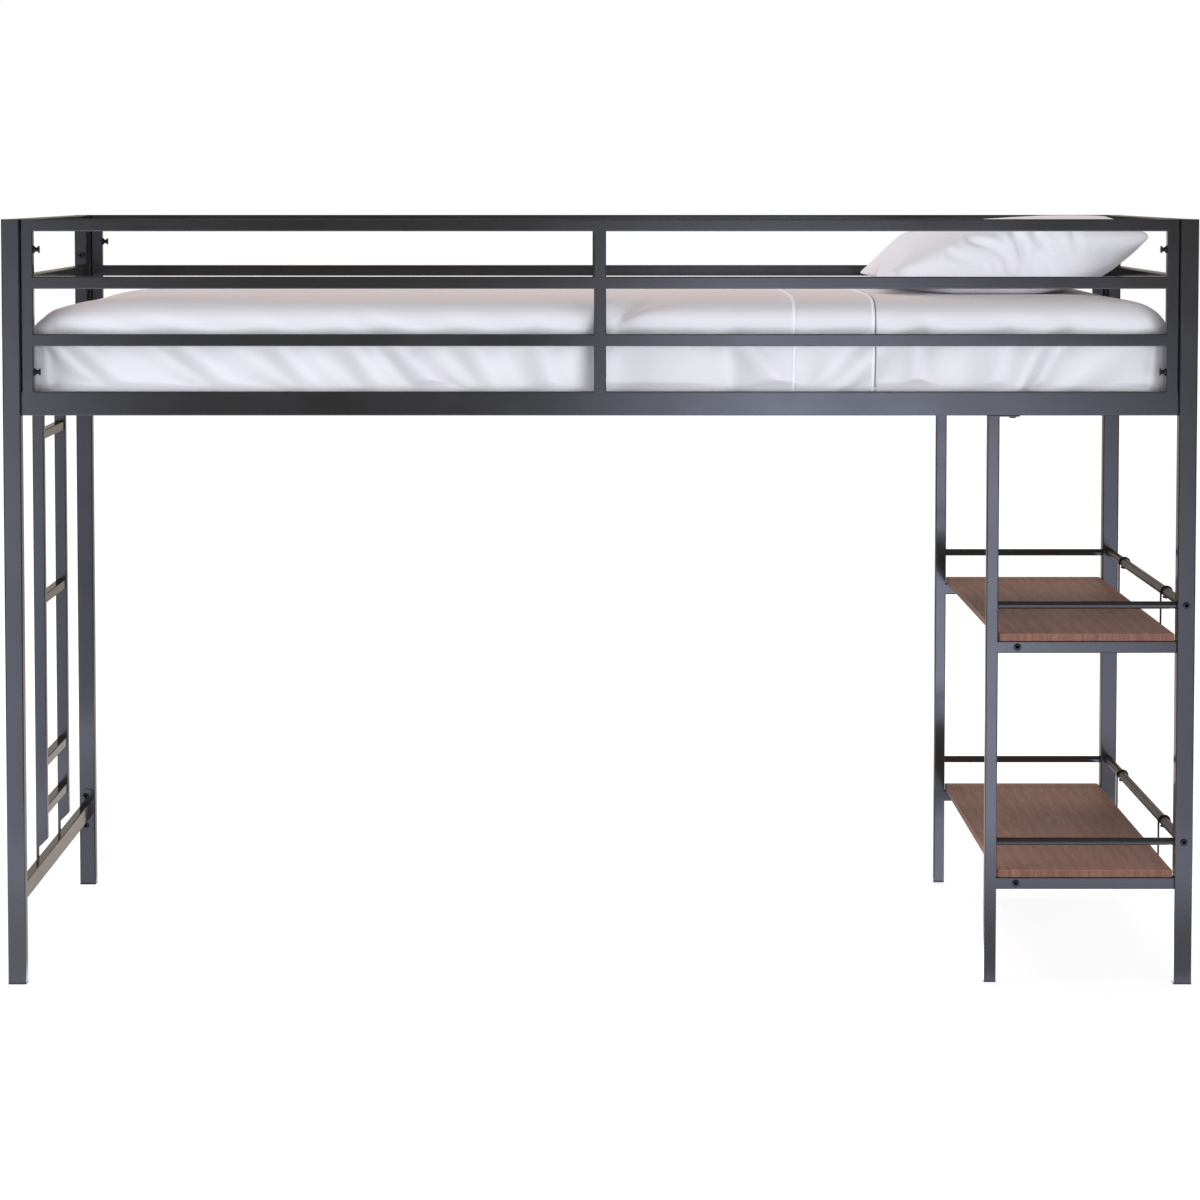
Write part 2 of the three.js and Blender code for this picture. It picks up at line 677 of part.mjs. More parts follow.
// The pillow leans on the head of the bed and its under-side is pressed flat on the mattress.
function settledPillow() {
  const geometry = toGeometry(toSolid(pillowGeometry()));
  geometry.rotateY(THREE.MathUtils.degToRad(-pillow.tilt));
  geometry.computeBoundingBox();
  const underside = geometry.boundingBox.min.z + pillow.settle;
  const spots = geometry.attributes.position;
  for (let index = 0; index < spots.count; index += 1) {
    spots.setZ(index, Math.max(underside, spots.getZ(index)));
  }
  const shift = half.length - pillow.fromShelfEnd - geometry.boundingBox.max.x;
  geometry.translate(shift, pillow.towardBack, mattress.top + pillow.gap - underside);
  geometry.computeVertexNormals();
  return geometry;
}

place('mattress', mattressGeometry(), whiteCloth);
place('pillow', settledPillow(), whiteCloth);

export default bed;
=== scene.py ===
"""Loft bed with end shelves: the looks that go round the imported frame."""

import math
from functools import partialmethod

import bmesh
import bpy
import numpy as np
from bmesh.types import BMEdge, BMFace, BMVert
from bpy.props import FloatProperty, FloatVectorProperty, IntProperty, PointerProperty
from bpy.types import Operator, Panel, PropertyGroup
from mathutils import Matrix, Vector


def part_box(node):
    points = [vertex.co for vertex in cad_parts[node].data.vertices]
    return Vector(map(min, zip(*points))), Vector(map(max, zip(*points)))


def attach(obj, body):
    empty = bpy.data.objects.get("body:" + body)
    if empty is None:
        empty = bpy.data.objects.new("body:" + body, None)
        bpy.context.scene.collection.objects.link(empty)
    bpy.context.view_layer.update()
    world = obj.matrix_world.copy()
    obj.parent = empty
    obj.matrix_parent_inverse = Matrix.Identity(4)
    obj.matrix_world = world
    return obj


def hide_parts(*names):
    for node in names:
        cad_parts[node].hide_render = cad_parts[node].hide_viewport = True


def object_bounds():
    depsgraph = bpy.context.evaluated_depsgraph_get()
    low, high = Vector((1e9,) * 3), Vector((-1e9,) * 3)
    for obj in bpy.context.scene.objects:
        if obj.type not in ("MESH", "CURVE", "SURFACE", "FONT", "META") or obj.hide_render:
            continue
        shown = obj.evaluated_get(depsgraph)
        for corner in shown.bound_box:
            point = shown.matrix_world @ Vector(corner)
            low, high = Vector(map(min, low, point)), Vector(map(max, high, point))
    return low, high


bl_info = {
    "name": "Loft bed with end shelves",
    "version": (1, 0, 0),
    "blender": (4, 5, 0),
    "location": "3D View > Sidebar > Loft Bed",
    "description": "Builds the finishes, bolts, bedding and stage of a tubular loft bed",
    "category": "Object",
}

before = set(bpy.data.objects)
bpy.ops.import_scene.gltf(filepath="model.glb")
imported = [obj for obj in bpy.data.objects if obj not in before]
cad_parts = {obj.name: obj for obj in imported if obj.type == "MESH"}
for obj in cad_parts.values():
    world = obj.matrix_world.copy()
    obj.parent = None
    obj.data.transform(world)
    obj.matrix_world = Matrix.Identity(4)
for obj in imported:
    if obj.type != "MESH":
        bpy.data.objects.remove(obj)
CAD_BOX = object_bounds()

SIDES = {"front": -1, "back": 1}
LEVELS = ("upper", "lower")


def nodes_named(*starts):
    """The CAD nodes whose names start with one of these words."""
    return [name for name in sorted(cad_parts) if name.startswith(starts)]


# ---------------------------------------------------------------- node trees


class Nodes:
    """Short ways to add nodes to one tree. A socket given as a value is linked."""

    def __init__(self, tree):
        self.tree = tree

    def put(self, socket, value):
        """Links or sets one socket."""
        if isinstance(value, bpy.types.NodeSocket):
            self.tree.links.new(value, socket)
        else:
            socket.default_value = value

    def plug(self, inputs, **values):
        """Links or sets named inputs."""
        for key, value in values.items():
            self.put(inputs[key.replace("_", " ")], value)

    def add(self, kind, sockets=(), **settings):
        """A shader node with its settings and its sockets."""
        made = self.tree.nodes.new(f"ShaderNode{kind}")
        for key, value in settings.items():
            setattr(made, key, value)
        for key, value in dict(sockets).items():
            self.put(made.inputs[key], value)
        return made

    def maths(self, operation, *values, clamp=False):
        """The result of a Math node."""
        return self.add("Math", enumerate(values), operation=operation, use_clamp=clamp).outputs[0]

    # Math nodes by what they do.
    times = partialmethod(maths, "MULTIPLY")
    plus = partialmethod(maths, "ADD")
    less = partialmethod(maths, "SUBTRACT")
    over = partialmethod(maths, "DIVIDE")
    most = partialmethod(maths, "MAXIMUM")
    sine = partialmethod(maths, "SINE")
    unsigned = partialmethod(maths, "ABSOLUTE")

    def remap(self, value, low, high, to_low=0.0, to_high=1.0, kind="LINEAR"):
        """A value moved from one range to another, and held to it."""
        sockets = {"Value": value, "From Min": low, "From Max": high, "To Min": to_low, "To Max": to_high}
        return self.add("MapRange", sockets, interpolation_type=kind).outputs["Result"]

    ease = partialmethod(remap, kind="SMOOTHSTEP")

    def mix(self, factor, first, second, blend="MIX"):
        """Two colours mixed."""
        made = self.add("Mix", data_type="RGBA", blend_type=blend, clamp_factor=True)
        for index, value in ((0, factor), (6, first), (7, second)):
            self.put(made.inputs[index], value)
        return made.outputs[2]

    def tinted(self, colour, tint):
        """A colour multiplied by another."""
        return self.mix(1.0, colour, tint, "MULTIPLY")

    def noise(self, place, scale, detail=2.0, roughness=0.5, distortion=0.0):
        """The value of a noise pattern."""
        made = self.add("TexNoise", {"Vector": place, "Scale": scale, "Detail": detail})
        self.plug(made.inputs, Roughness=roughness, Distortion=distortion)
        return made.outputs["Fac"]

    def place(self):
        """The piece's own Object coordinates, in metres."""
        return self.add("TexCoord").outputs["Object"]

    def normal(self):
        """The surface normal."""
        return self.add("NewGeometry").outputs["Normal"]

    def axes(self, vector):
        """A vector's three numbers."""
        return self.add("SeparateXYZ", {0: vector}).outputs

    def stretched(self, place, *scale):
        """Coordinates scaled apart on the three axes."""
        return self.add("Mapping", {"Vector": place, "Scale": scale}).outputs[0]

    def scaled(self, vector, by):
        """A vector or colour times a number."""
        return self.add("VectorMath", {0: vector, "Scale": by}, operation="SCALE").outputs[0]

    def bump(self, height, distance, normal=None, strength=1.0):
        """The normal of a Bump node."""
        sockets = {"Height": height, "Distance": distance, "Strength": strength}
        if normal is not None:
            sockets["Normal"] = normal
        return self.add("Bump", sockets).outputs[0]

    def rays(self):
        """1 for rays that the eye sees, straight or through glass, and 1 for reflected rays."""
        path = self.add("LightPath").outputs
        seen = self.most(path["Is Camera Ray"], path["Is Transmission Ray"])
        return seen, path["Is Glossy Ray"]

    def group(self, name, **values):
        """A shared group with its own values; it is built at first use."""
        made = self.add("Group", node_tree=bpy.data.node_groups.get(name) or GROUP_MAKERS[name](name))
        self.plug(made.inputs, **values)
        return made.outputs


def node_group(name, inputs, outputs):
    """A new shader node group: its node writer, its named inputs and the inputs of its output node."""
    tree = bpy.data.node_groups.new(name, "ShaderNodeTree")
    for label, default in inputs.items():
        kind = "NodeSocketFloat" if isinstance(default, float) else "NodeSocketColor"
        tree.interface.new_socket(label, in_out="INPUT", socket_type=kind).default_value = default
    for label, kind in outputs.items():
        tree.interface.new_socket(label, in_out="OUTPUT", socket_type=f"NodeSocket{kind}")
    return Nodes(tree), tree.nodes.new("NodeGroupInput").outputs, tree.nodes.new("NodeGroupOutput").inputs


def edge_wear_group(name):
    """Where sharp edges rub: a mask that is 1 on an edge, and the rounded normal there."""
    inputs = {"Edge Radius": 0.0012, "Patch Size": 40.0, "Amount": 0.5}
    n, given, result = node_group(name, inputs, {"Mask": "Float", "Normal": "Vector"})
    rounded = n.add("Bevel", {"Radius": given["Edge Radius"]}, samples=6).outputs[0]
    facing = n.add("VectorMath", {0: rounded, 1: n.normal()}, operation="DOT_PRODUCT").outputs["Value"]
    patches = n.ease(n.noise(n.place(), given["Patch Size"], 3), 0.42, 0.7)
    rubbed = n.times(n.ease(facing, 0.995, 0.9), patches)
    n.plug(result, Mask=n.times(rubbed, given["Amount"], clamp=True), Normal=rounded)
    return n.tree


def mottle_group(name):
    """A colour that drifts slowly over a surface and carries fine flecks."""
    inputs = {
        "Colour": (0.5, 0.5, 0.5, 1),
        "Drift Colour": (0.4, 0.4, 0.4, 1),
        "Drift Scale": 3.0,
        "Fleck Scale": 900.0,
        "Fleck Strength": 0.1,
    }
    n, given, result = node_group(name, inputs, {"Colour": "Color", "Fleck": "Float"})
    place = n.place()
    drift = n.ease(n.noise(place, given["Drift Scale"], 3), 0.35, 0.65)
    base = n.mix(drift, given["Colour"], given["Drift Colour"])
    fleck = n.noise(place, given["Fleck Scale"])
    lift = n.plus(n.times(n.less(n.remap(fleck, 0.3, 0.7), 0.5), given["Fleck Strength"]), 1.0)
    grey = n.add("CombineColor", {"Red": lift, "Green": lift, "Blue": lift}).outputs[0]
    n.plug(result, Colour=n.tinted(base, grey), Fleck=fleck)
    return n.tree


def crevice_group(name):
    """Where two pieces nearly touch: 1 deep in the gap, 0 in the open."""
    n, given, result = node_group(name, {"Reach": 0.005}, {"Mask": "Float"})
    near = n.add("AmbientOcclusion", {"Distance": given["Reach"]}, samples=4).outputs["AO"]
    n.plug(result, Mask=n.ease(near, 0.75, 0.15))
    return n.tree


def wood_grain_group(name):
    """Long grain that runs along Y, with pores, broad figure and end streaks."""
    inputs = {
        "Light": (0.25, 0.18, 0.15, 1),
        "Dark": (0.12, 0.08, 0.065, 1),
        "Figure Scale": 9.0,
        "Fibre Scale": 240.0,
        "Pore Scale": 620.0,
    }
    n, given, result = node_group(name, inputs, {"Colour": "Color", "Height": "Float", "Fibre": "Float"})
    place = n.place()
    finer = n.stretched(place, 1.0, 0.06, 0.06)
    figure = n.noise(n.stretched(place, 1.0, 0.12, 0.12), given["Figure Scale"], 4, 0.55, 0.6)
    waves = {
        "Vector": n.stretched(place, 1.0, 0.05, 0.1),
        "Scale": n.times(given["Figure Scale"], 1.5),
        "Distortion": 7.0,
        "Detail": 3.0,
        "Detail Scale": 1.2,
    }
    bands = n.add("TexWave", waves, bands_direction="X").outputs["Fac"]
    fibre = n.noise(finer, given["Fibre Scale"], 4, 0.6)
    pores = n.ease(n.noise(finer, given["Pore Scale"]), 0.62, 0.72)
    broad = n.plus(n.times(figure, 0.55), n.times(bands, 0.2))
    tone = n.less(n.plus(broad, n.times(fibre, 0.55)), n.times(pores, -0.18))
    plank = n.mix(n.ease(tone, 0.42, 0.92), given["Light"], given["Dark"])
    on_edge = n.remap(n.unsigned(n.axes(n.normal())["Y"]), 0.6, 0.9)
    streaks = n.remap(n.noise(finer, 330.0, 3, 0.6), 0.36, 0.64, 1.18, 0.72)
    colour = n.mix(on_edge, plank, n.scaled(plank, streaks))
    n.plug(result, Colour=colour, Height=n.less(n.times(fibre, 0.5), pores), Fibre=fibre)
    return n.tree


def weave_group(name):
    """A plain weave on the cloth's own map, in metres."""
    inputs = {"Thread Spacing": 0.0006, "Slub": 0.35}
    n, given, result = node_group(name, inputs, {"Height": "Float", "Shade": "Float"})
    cloth = n.add("UVMap", uv_map="cloth").outputs[0]
    axes = n.axes(cloth)
    turn = n.over(math.pi, given["Thread Spacing"])
    warp = n.unsigned(n.sine(n.times(axes["X"], turn)))
    weft = n.unsigned(n.sine(n.times(axes["Y"], turn)))
    over = n.sine(n.times(n.plus(axes["X"], axes["Y"]), turn))
    slubs = n.noise(n.stretched(cloth, 1.0, 0.04, 1.0), 900.0)
    uneven = n.times(n.less(slubs, 0.5), given["Slub"])
    height = n.plus(n.plus(n.times(warp, weft), n.times(over, 0.25)), uneven)
    n.plug(result, Height=height, Shade=n.remap(height, -0.2, 1.1))
    return n.tree


def creases_group(name):
    """Small soft creases left in a pressed sheet."""
    n, given, result = node_group(name, {"Crease Scale": 9.0}, {"Height": "Float"})
    bent = n.noise(n.place(), given["Crease Scale"], 3.0, 0.45, 0.8)
    n.plug(result, Height=n.ease(n.unsigned(n.less(bent, 0.5)), 0.0, 0.16, 1.0, 0.0))
    return n.tree


GROUP_MAKERS = {
    "Edge wear": edge_wear_group,
    "Crevice": crevice_group,
    "Mottle": mottle_group,
    "Wood grain": wood_grain_group,
    "Plain weave": weave_group,
    "Cloth creases": creases_group,
}


def rgba(colour, lift=1.0):
    """A colour as four numbers, lighter or darker by a factor."""
    return (*(lift * part for part in colour), 1.0)


def material(name, **values):
    """A new material, its node writer, and its Principled node's inputs with plain values set on them."""
    made = bpy.data.materials.new(name)
    made.use_nodes = True
    n = Nodes(made.node_tree)
    inputs = made.node_tree.nodes["Principled BSDF"].inputs
    n.plug(inputs, **values)
    return made, n, inputs


def mottle(n, colour, drift_colour, drift_scale, fleck_scale, strength):
    """A mottled colour, and its flecks."""
    scales = {"Drift_Scale": drift_scale, "Fleck_Scale": fleck_scale, "Fleck_Strength": strength}
    return n.group("Mottle", Colour=colour, Drift_Colour=drift_colour, **scales)


def painted_steel(name, paint, peel=0.000003, wear=0.25, edge=0.0008, **values):
    """Powder coat: slow drift of tone, fine flecks, orange peel, rubbed edges, and painted shade that
    darkens the gaps between parts.
    """
    made, n, shader = material(name, **values)
    tone = mottle(n, rgba(paint.colour), rgba(paint.colour, 0.88), 4.0, 1400.0, 0.25)
    worn = n.group("Edge wear", Edge_Radius=edge, Patch_Size=30.0, Amount=wear)
    colour = n.mix(worn["Mask"], tone["Colour"], rgba(paint.worn_colour))
    # The crevice mask drives painted shade: the base colour falls to a quarter where another part is near,
    # and the same mask roughens the coat there.
    gap = n.group("Crevice", Reach=0.005)["Mask"]
    smudges = n.noise(n.place(), 7.0, 4, 0.6)
    rough = n.remap(smudges, 0.3, 0.7, paint.roughness - 0.02, paint.roughness + 0.03)
    rough = n.plus(rough, n.times(worn["Mask"], 0.1))
    n.plug(
        shader,
        Base_Color=n.mix(gap, colour, rgba(paint.colour, 0.25)),
        Roughness=n.most(rough, n.times(gap, 0.9)),
        Normal=n.bump(n.noise(n.place(), 650.0), peel, worn["Normal"]),
    )
    return made


def bed_cloth(name, cloth, crease=0.0006, lift=1.0, painted_top_light=(1.0, 1.0, 1.0)):
    """Washed percale: weave, slubs, small creases, a soft nap, and a painted light tint where it faces up.
    """
    colour = [min(1, lift * part) for part in cloth.colour]
    made, n, shader = material(name, Roughness=0.9, Sheen_Weight=0.12, Sheen_Roughness=0.5)
    weave = n.group("Plain weave", Thread_Spacing=cloth.thread)
    tone = mottle(n, rgba(colour), rgba(colour, 0.985), 2.5, 1600.0, 0.02)
    shade = n.mix(weave["Shade"], rgba(colour, 0.95), tone["Colour"])
    # Painted light: faces that point up are multiplied by a tint, which warms the fitted sheet's top as a
    # warm light from above would.
    upward = n.remap(n.axes(n.normal())["Z"], 0.75, 0.98)
    soft = n.bump(n.group("Cloth creases", Crease_Scale=7.0)["Height"], crease, strength=0.6)
    n.plug(
        shader,
        Base_Color=n.mix(upward, shade, n.tinted(shade, rgba(painted_top_light))),
        Roughness=n.remap(weave["Height"], 0, 1, 0.95, 0.82),
        Normal=n.bump(weave["Height"], 0.00006, soft, 0.5),
    )
    return made


# ---------------------------------------------------------------- mesh pieces


def link_object(name, data):
    """A new object in the scene, at the origin."""
    made = bpy.data.objects.new(name, data)
    bpy.context.scene.collection.objects.link(made)
    return made


def object_from(name, bm):
    """A new mesh object in the scene, made from a bmesh that is freed."""
    mesh = bpy.data.meshes.new(name)
    bm.to_mesh(mesh)
    bm.free()
    return link_object(name, mesh)


def new_piece(name, bm, finish, body="frame", replaces=(), sharp=35):
    """A finished mesh object at the origin, riding on its body."""
    bmesh.ops.recalc_face_normals(bm, faces=bm.faces)
    piece = object_from(name, bm)
    piece.data.materials.append(finish)
    piece.data.shade_smooth()
    if sharp is not None:
        piece.data.set_sharp_from_angle(angle=math.radians(sharp))
    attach(piece, body)
    if replaces:
        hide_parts(*replaces)
    return piece


def only(kind, geometry):
    """The vertices, edges or faces of a bmesh result."""
    return [part for part in geometry if isinstance(part, kind)]


def turned(profile, steps):
    """A bmesh of radius and height pairs turned about Z; an end on the axis closes."""
    bm = bmesh.new()
    verts = [bm.verts.new((radius, 0, height)) for radius, height in profile]
    edges = [bm.edges.new(pair) for pair in zip(verts, verts[1:])]
    bmesh.ops.spin(
        bm, geom=verts + edges, cent=(0, 0, 0), axis=(0, 0, 1), angle=math.tau, steps=steps, use_merge=True
    )
    bmesh.ops.remove_doubles(bm, verts=bm.verts, dist=1e-7)
    return bm


def cut_socket(bm, height, across_flats, depth, steps):
    """Closes the open rim at this height with a flat face and a hexagon socket sunk in it."""

    def is_level(edge):
        return all(abs(v.co.z - height) < 1e-7 for v in edge.verts)

    rim = [e for e in bm.edges if e.is_boundary and is_level(e)]
    corner, place = across_flats / math.sqrt(3), Matrix.Translation((0, 0, height))
    hexagon = bmesh.ops.create_circle(bm, cap_ends=False, segments=6, radius=corner, matrix=place)["verts"]
    bmesh.ops.subdivide_edges(bm, edges=edges_at(hexagon), cuts=steps // 6 - 1)
    ring = [e for e in bm.edges if (e.is_boundary or e.is_wire) and e not in rim and is_level(e)]
    bmesh.ops.bridge_loops(bm, edges=rim + ring)
    wall = bmesh.ops.extrude_edge_only(bm, edges=ring)["geom"]
    foot = only(BMVert, wall)
    bmesh.ops.translate(bm, verts=foot, vec=(0, 0, -depth))
    foot_edges = [e for e in only(BMEdge, wall) if all(v in foot for v in e.verts)]
    tip = only(BMVert, bmesh.ops.extrude_edge_only(bm, edges=foot_edges)["geom"])
    bmesh.ops.translate(bm, verts=tip, vec=(0, 0, -0.25 * across_flats))
    bmesh.ops.scale(bm, verts=tip, vec=(0, 0, 1))
    bmesh.ops.remove_doubles(bm, verts=bm.verts, dist=1e-7)


def aim(bm, at, direction):
    """Moves a piece made along +Z to a place, pointing in a direction."""
    turn = Vector(direction).to_track_quat("Z", "Y").to_matrix().to_4x4()
    bmesh.ops.transform(bm, matrix=Matrix.Translation(at) @ turn, verts=bm.verts)


def round_head_bolt(width, height, steps, socket=0.005, shank=0.0058, reach=0.012):
    """A low button-head bolt with a hexagon socket, its head standing on z = 0."""
    radius, neck = width / 2, shank / 2
    dome = [
        (radius * math.cos(a), 0.25 * height + 0.75 * height * math.sin(a))
        for a in (math.radians(angle) for angle in (0, 18, 36, 50))
    ]
    shaft = [(0, -reach), (neck * 0.8, -reach), (neck, -reach * 0.9), (neck, 0), (radius, 0)]
    bm = turned(shaft + dome, steps)
    cut_socket(bm, dome[-1][1], socket, 0.6 * height, steps)
    return bm


def edges_at(verts):
    """The edges that touch some vertices, each once."""
    return list(dict.fromkeys(e for v in verts for e in v.link_edges))


def ring_edges(ring):
    """The edges between the vertices of one ring."""
    return [e for e in edges_at(ring) if all(v in ring for v in e.verts)]


def sweep(line, radius, sides, closed=False):
    """A bmesh of a round section carried along a line of points, with domed ends unless it closes."""
    bm = bmesh.new()
    rings, last = [], len(line) - 1
    for index, point in enumerate(line):
        before = line[index - 1] if closed or index else point
        after = line[(index + 1) % len(line)] if closed or index < last else point
        turn = (after - before).to_track_quat("Z", "Y").to_matrix().to_4x4()
        place = Matrix.Translation(point) @ turn
        ring = bmesh.ops.create_circle(bm, cap_ends=False, segments=sides, radius=radius, matrix=place)
        rings.append(ring["verts"])
    loops = [ring_edges(ring) for ring in rings]
    pairs = list(zip(loops, loops[1:]))
    if closed:
        pairs.append((loops[-1], loops[0]))
    for loop, following in pairs:
        bmesh.ops.bridge_loops(bm, edges=loop + following)
    if closed:
        return bm
    for ring, outward in ((rings[0], line[0] - line[1]), (rings[-1], line[-1] - line[-2])):
        tips = only(BMVert, bmesh.ops.extrude_edge_only(bm, edges=ring_edges(ring))["geom"])
        middle = sum((v.co for v in tips), Vector()) / len(tips)
        bmesh.ops.scale(bm, verts=tips, vec=(0.6, 0.6, 0.6), space=Matrix.Translation(-middle))
        bmesh.ops.translate(bm, verts=tips, vec=outward.normalized() * radius * 0.35)
        bmesh.ops.edgeloop_fill(bm, edges=ring_edges(tips))
    return bm


# ---------------------------------------------------------------- soft goods


def rows_of(items, name):
    """A vector of every vertex or face as an array, a row for each."""
    found = np.empty(len(items) * 3)
    items.foreach_get(name, found)
    return found.reshape(-1, 3)


def coordinates(piece):
    """A piece's vertices as an array."""
    return rows_of(piece.data.vertices, "co")


def normals_of(piece):
    """A piece's vertex normals as an array."""
    return rows_of(piece.data.vertex_normals, "vector")


def set_coordinates(piece, places):
    """Puts an array back into a piece's vertices."""
    piece.data.vertices.foreach_set("co", places.ravel())
    piece.data.update()


def bell(distance, width, power=2):
    """1 at no distance, falling to nothing past a width."""
    return np.exp(-((distance / width) ** power))


def step(distance, width):
    """0 well before a place and 1 well past it, with a soft rise between."""
    return 1 / (1 + np.exp(-distance / width))


def inflate(piece, pressure, frames, most, **cloth):
    """Swells a closed cloth shape by air pressure, and moves no point further than most."""
    scene = bpy.context.scene
    start = coordinates(piece)
    swell = piece.modifiers.new("swell", "CLOTH")
    swell.settings.use_pressure = True
    swell.settings.uniform_pressure_force = pressure
    swell.settings.effector_weights.gravity = 0
    for key, value in cloth.items():
        setattr(swell.settings, key, value)
    swell.point_cache.frame_start = 1
    swell.point_cache.frame_end = frames
    for number in range(1, frames + 1):
        scene.frame_set(number)
    posed = piece.evaluated_get(bpy.context.evaluated_depsgraph_get())
    moved = coordinates(posed) - start
    piece.modifiers.remove(swell)
    length = np.maximum(np.linalg.norm(moved, axis=1, keepdims=True), 1e-12)
    set_coordinates(piece, start + moved * np.minimum(1, most / length))
    scene.frame_set(1)


def rebuild(piece, kind, **settings):
    """Adds one modifier to a piece and applies it."""
    modifier = piece.modifiers.new("rebuild", kind)
    for key, value in settings.items():
        setattr(modifier, key, value)
    done = piece.evaluated_get(bpy.context.evaluated_depsgraph_get())
    mesh, old = bpy.data.meshes.new_from_object(done), piece.data
    piece.modifiers.clear()
    piece.data = mesh
    bpy.data.meshes.remove(old)


def relax(piece, times):
    """Smooths a mesh a little, so that slanting folds don't step from row to row."""
    bm = bmesh.new()
    bm.from_mesh(piece.data)
    axes = {f"use_axis_{axis}": True for axis in "xyz"}
    for _ in range(times):
        bmesh.ops.smooth_vert(bm, verts=bm.verts, factor=0.5, **axes)
    bm.to_mesh(piece.data)
    bm.free()


def fit_between(places, low, high):
    """Scales an array of points to fill a box."""
    here_low, here_high = places.min(0), places.max(0)
    share = (places - here_low) / (here_high - here_low)
    return np.array(low) + share * (np.array(high) - np.array(low))


def section_line(sheet, x, spacing):
    """The closed line in which a plane at x cuts a mesh, as evenly spaced points."""
    bm = bmesh.new()
    bm.from_mesh(sheet.data)
    geometry = [*bm.verts, *bm.edges, *bm.faces]
    cut = bmesh.ops.bisect_plane(bm, geom=geometry, plane_co=(x, 0, 0), plane_no=(1, 0, 0))["geom_cut"]
    edges = set(only(BMEdge, cut))
    here = only(BMEdge, cut)[0].verts[0]
    line = [here.co.copy()]
    while edges:
        along = next((e for e in here.link_edges if e in edges), None)
        if along is None:
            break
        edges.remove(along)
        here = along.other_vert(here)
        line.append(here.co.copy())
    bm.free()
    lengths = np.cumsum([0, *((b - a).length for a, b in zip(line, line[1:]))])
    at = np.linspace(0, lengths[-1], round(lengths[-1] / spacing), endpoint=False)
    spots = np.array(line)
    return [Vector([np.interp(t, lengths, spots[:, axis]) for axis in range(3)]) for t in at]


def map_cloth(piece):
    """Gives a piece its cloth map, in metres, by the way each face looks."""
    mesh = piece.data
    layer = mesh.uv_layers.get("cloth") or mesh.uv_layers.new(name="cloth")
    corner = np.empty(len(mesh.loops), int)
    mesh.loops.foreach_get("vertex_index", corner)
    sizes = np.empty(len(mesh.polygons), int)
    mesh.polygons.foreach_get("loop_total", sizes)
    axis = np.repeat(np.abs(rows_of(mesh.polygons, "normal")).argmax(1), sizes)
    pairs = np.array([(1, 2), (0, 2), (0, 1)])[axis]
    layer.data.foreach_set("uv", np.take_along_axis(coordinates(piece)[corner], pairs, 1).ravel())


def distance_to_line(spots, line):
    """How far each spot is from a line of points, in the plane."""
    nearest = np.full(len(spots), np.inf)
    for a, b in zip(line, line[1:]):
        along = np.clip((spots - a) @ (b - a) / ((b - a) @ (b - a)), 0, 1)
        nearest = np.minimum(nearest, np.linalg.norm(spots - a - along[:, None] * (b - a), axis=1))
    return nearest


# ---------------------------------------------------------------- settings


def tint(name, description, default, most=1):
    """A colour setting."""
    return FloatVectorProperty(
        name=name, description=description, subtype="COLOR", default=default, min=0, max=most
    )


def metres(name, description, default):
    """A length setting."""
    return FloatProperty(name=name, description=description, default=default, unit="LENGTH")


def amount(name, description, default, **limits):
    """A plain number setting."""
    return FloatProperty(name=name, description=description, default=default, **limits)


def count(name, description, default, low, high):
    """A whole number setting."""
    return IntProperty(name=name, description=description, default=default, min=low, max=high)


class LOFTBED_PG_paint(PropertyGroup):
    """The powder coat of the frame."""

    colour: tint("Paint", "Colour of the coat", (0.026, 0.025, 0.0232))
    worn_colour: tint("Rubbed edges", "Colour where edges rub", (0.055, 0.053, 0.05))
    roughness: amount("Roughness", "Gloss of the coat", 0.11, min=0, max=1)


class LOFTBED_PG_rods(PropertyGroup):
    """The glossier coat of the gallery tubes and their wire."""

    colour: tint("Enamel", "Colour of the tubes", (0.03, 0.027, 0.022))
    worn_colour: tint("Rubbed edges", "Colour where edges rub", (0.07, 0.066, 0.06))
    roughness: amount("Roughness", "Gloss of the enamel", 0.26, min=0, max=1)


class LOFTBED_PG_bolts(PropertyGroup):
    """Black bolts."""

    colour: tint("Black oxide", "Colour of the bolts", (0.012, 0.012, 0.013))
    worn_colour: tint("Rubbed edges", "Colour where a key rubs", (0.05, 0.05, 0.052))
    roughness: amount("Roughness", "Gloss of the bolts", 0.42, min=0, max=1)
    steps: count("Steps", "Sides of a turned bolt", 24, 12, 72)
    grip_width: metres("Grip", "Width of a grip bolt's rims", 0.0127)
    grip_neck: metres("Waist", "Width of its waist", 0.0066)
    socket: metres("Socket", "Hexagon across flats", 0.0047)


class LOFTBED_PG_boards(PropertyGroup):
    """The two walnut shelf boards."""

    light: tint("Light grain", "Colour between the grain", (0.262, 0.136, 0.102))
    dark: tint("Dark grain", "Colour of the grain", (0.200, 0.104, 0.077))
    figure: amount("Figure", "Broad figure, repeats in a metre", 9.0)


class LOFTBED_PG_mattress(PropertyGroup):
    """The mattress in its fitted sheet."""

    colour: tint("Sheet", "Colour of the sheet", (0.785, 0.775, 0.805))
    thread: metres("Thread", "Thread spacing", 0.0006)
    voxel: metres("Mesh size", "Edge of the cloth's quads", 0.0125)
    swell: metres("Swell", "Most that the sheet puffs out", 0.010)


class LOFTBED_PG_pillow(PropertyGroup):
    """The pillow in its case."""

    colour: tint("Case", "Colour of the case", (0.88, 0.88, 0.93))
    thread: metres("Thread", "Thread spacing", 0.0006)
    tilt: amount("Tilt", "Rise toward the shelf end", math.radians(8.3), subtype="ANGLE")
    segments: count("Segments", "Quads across the case", 56, 16, 96)


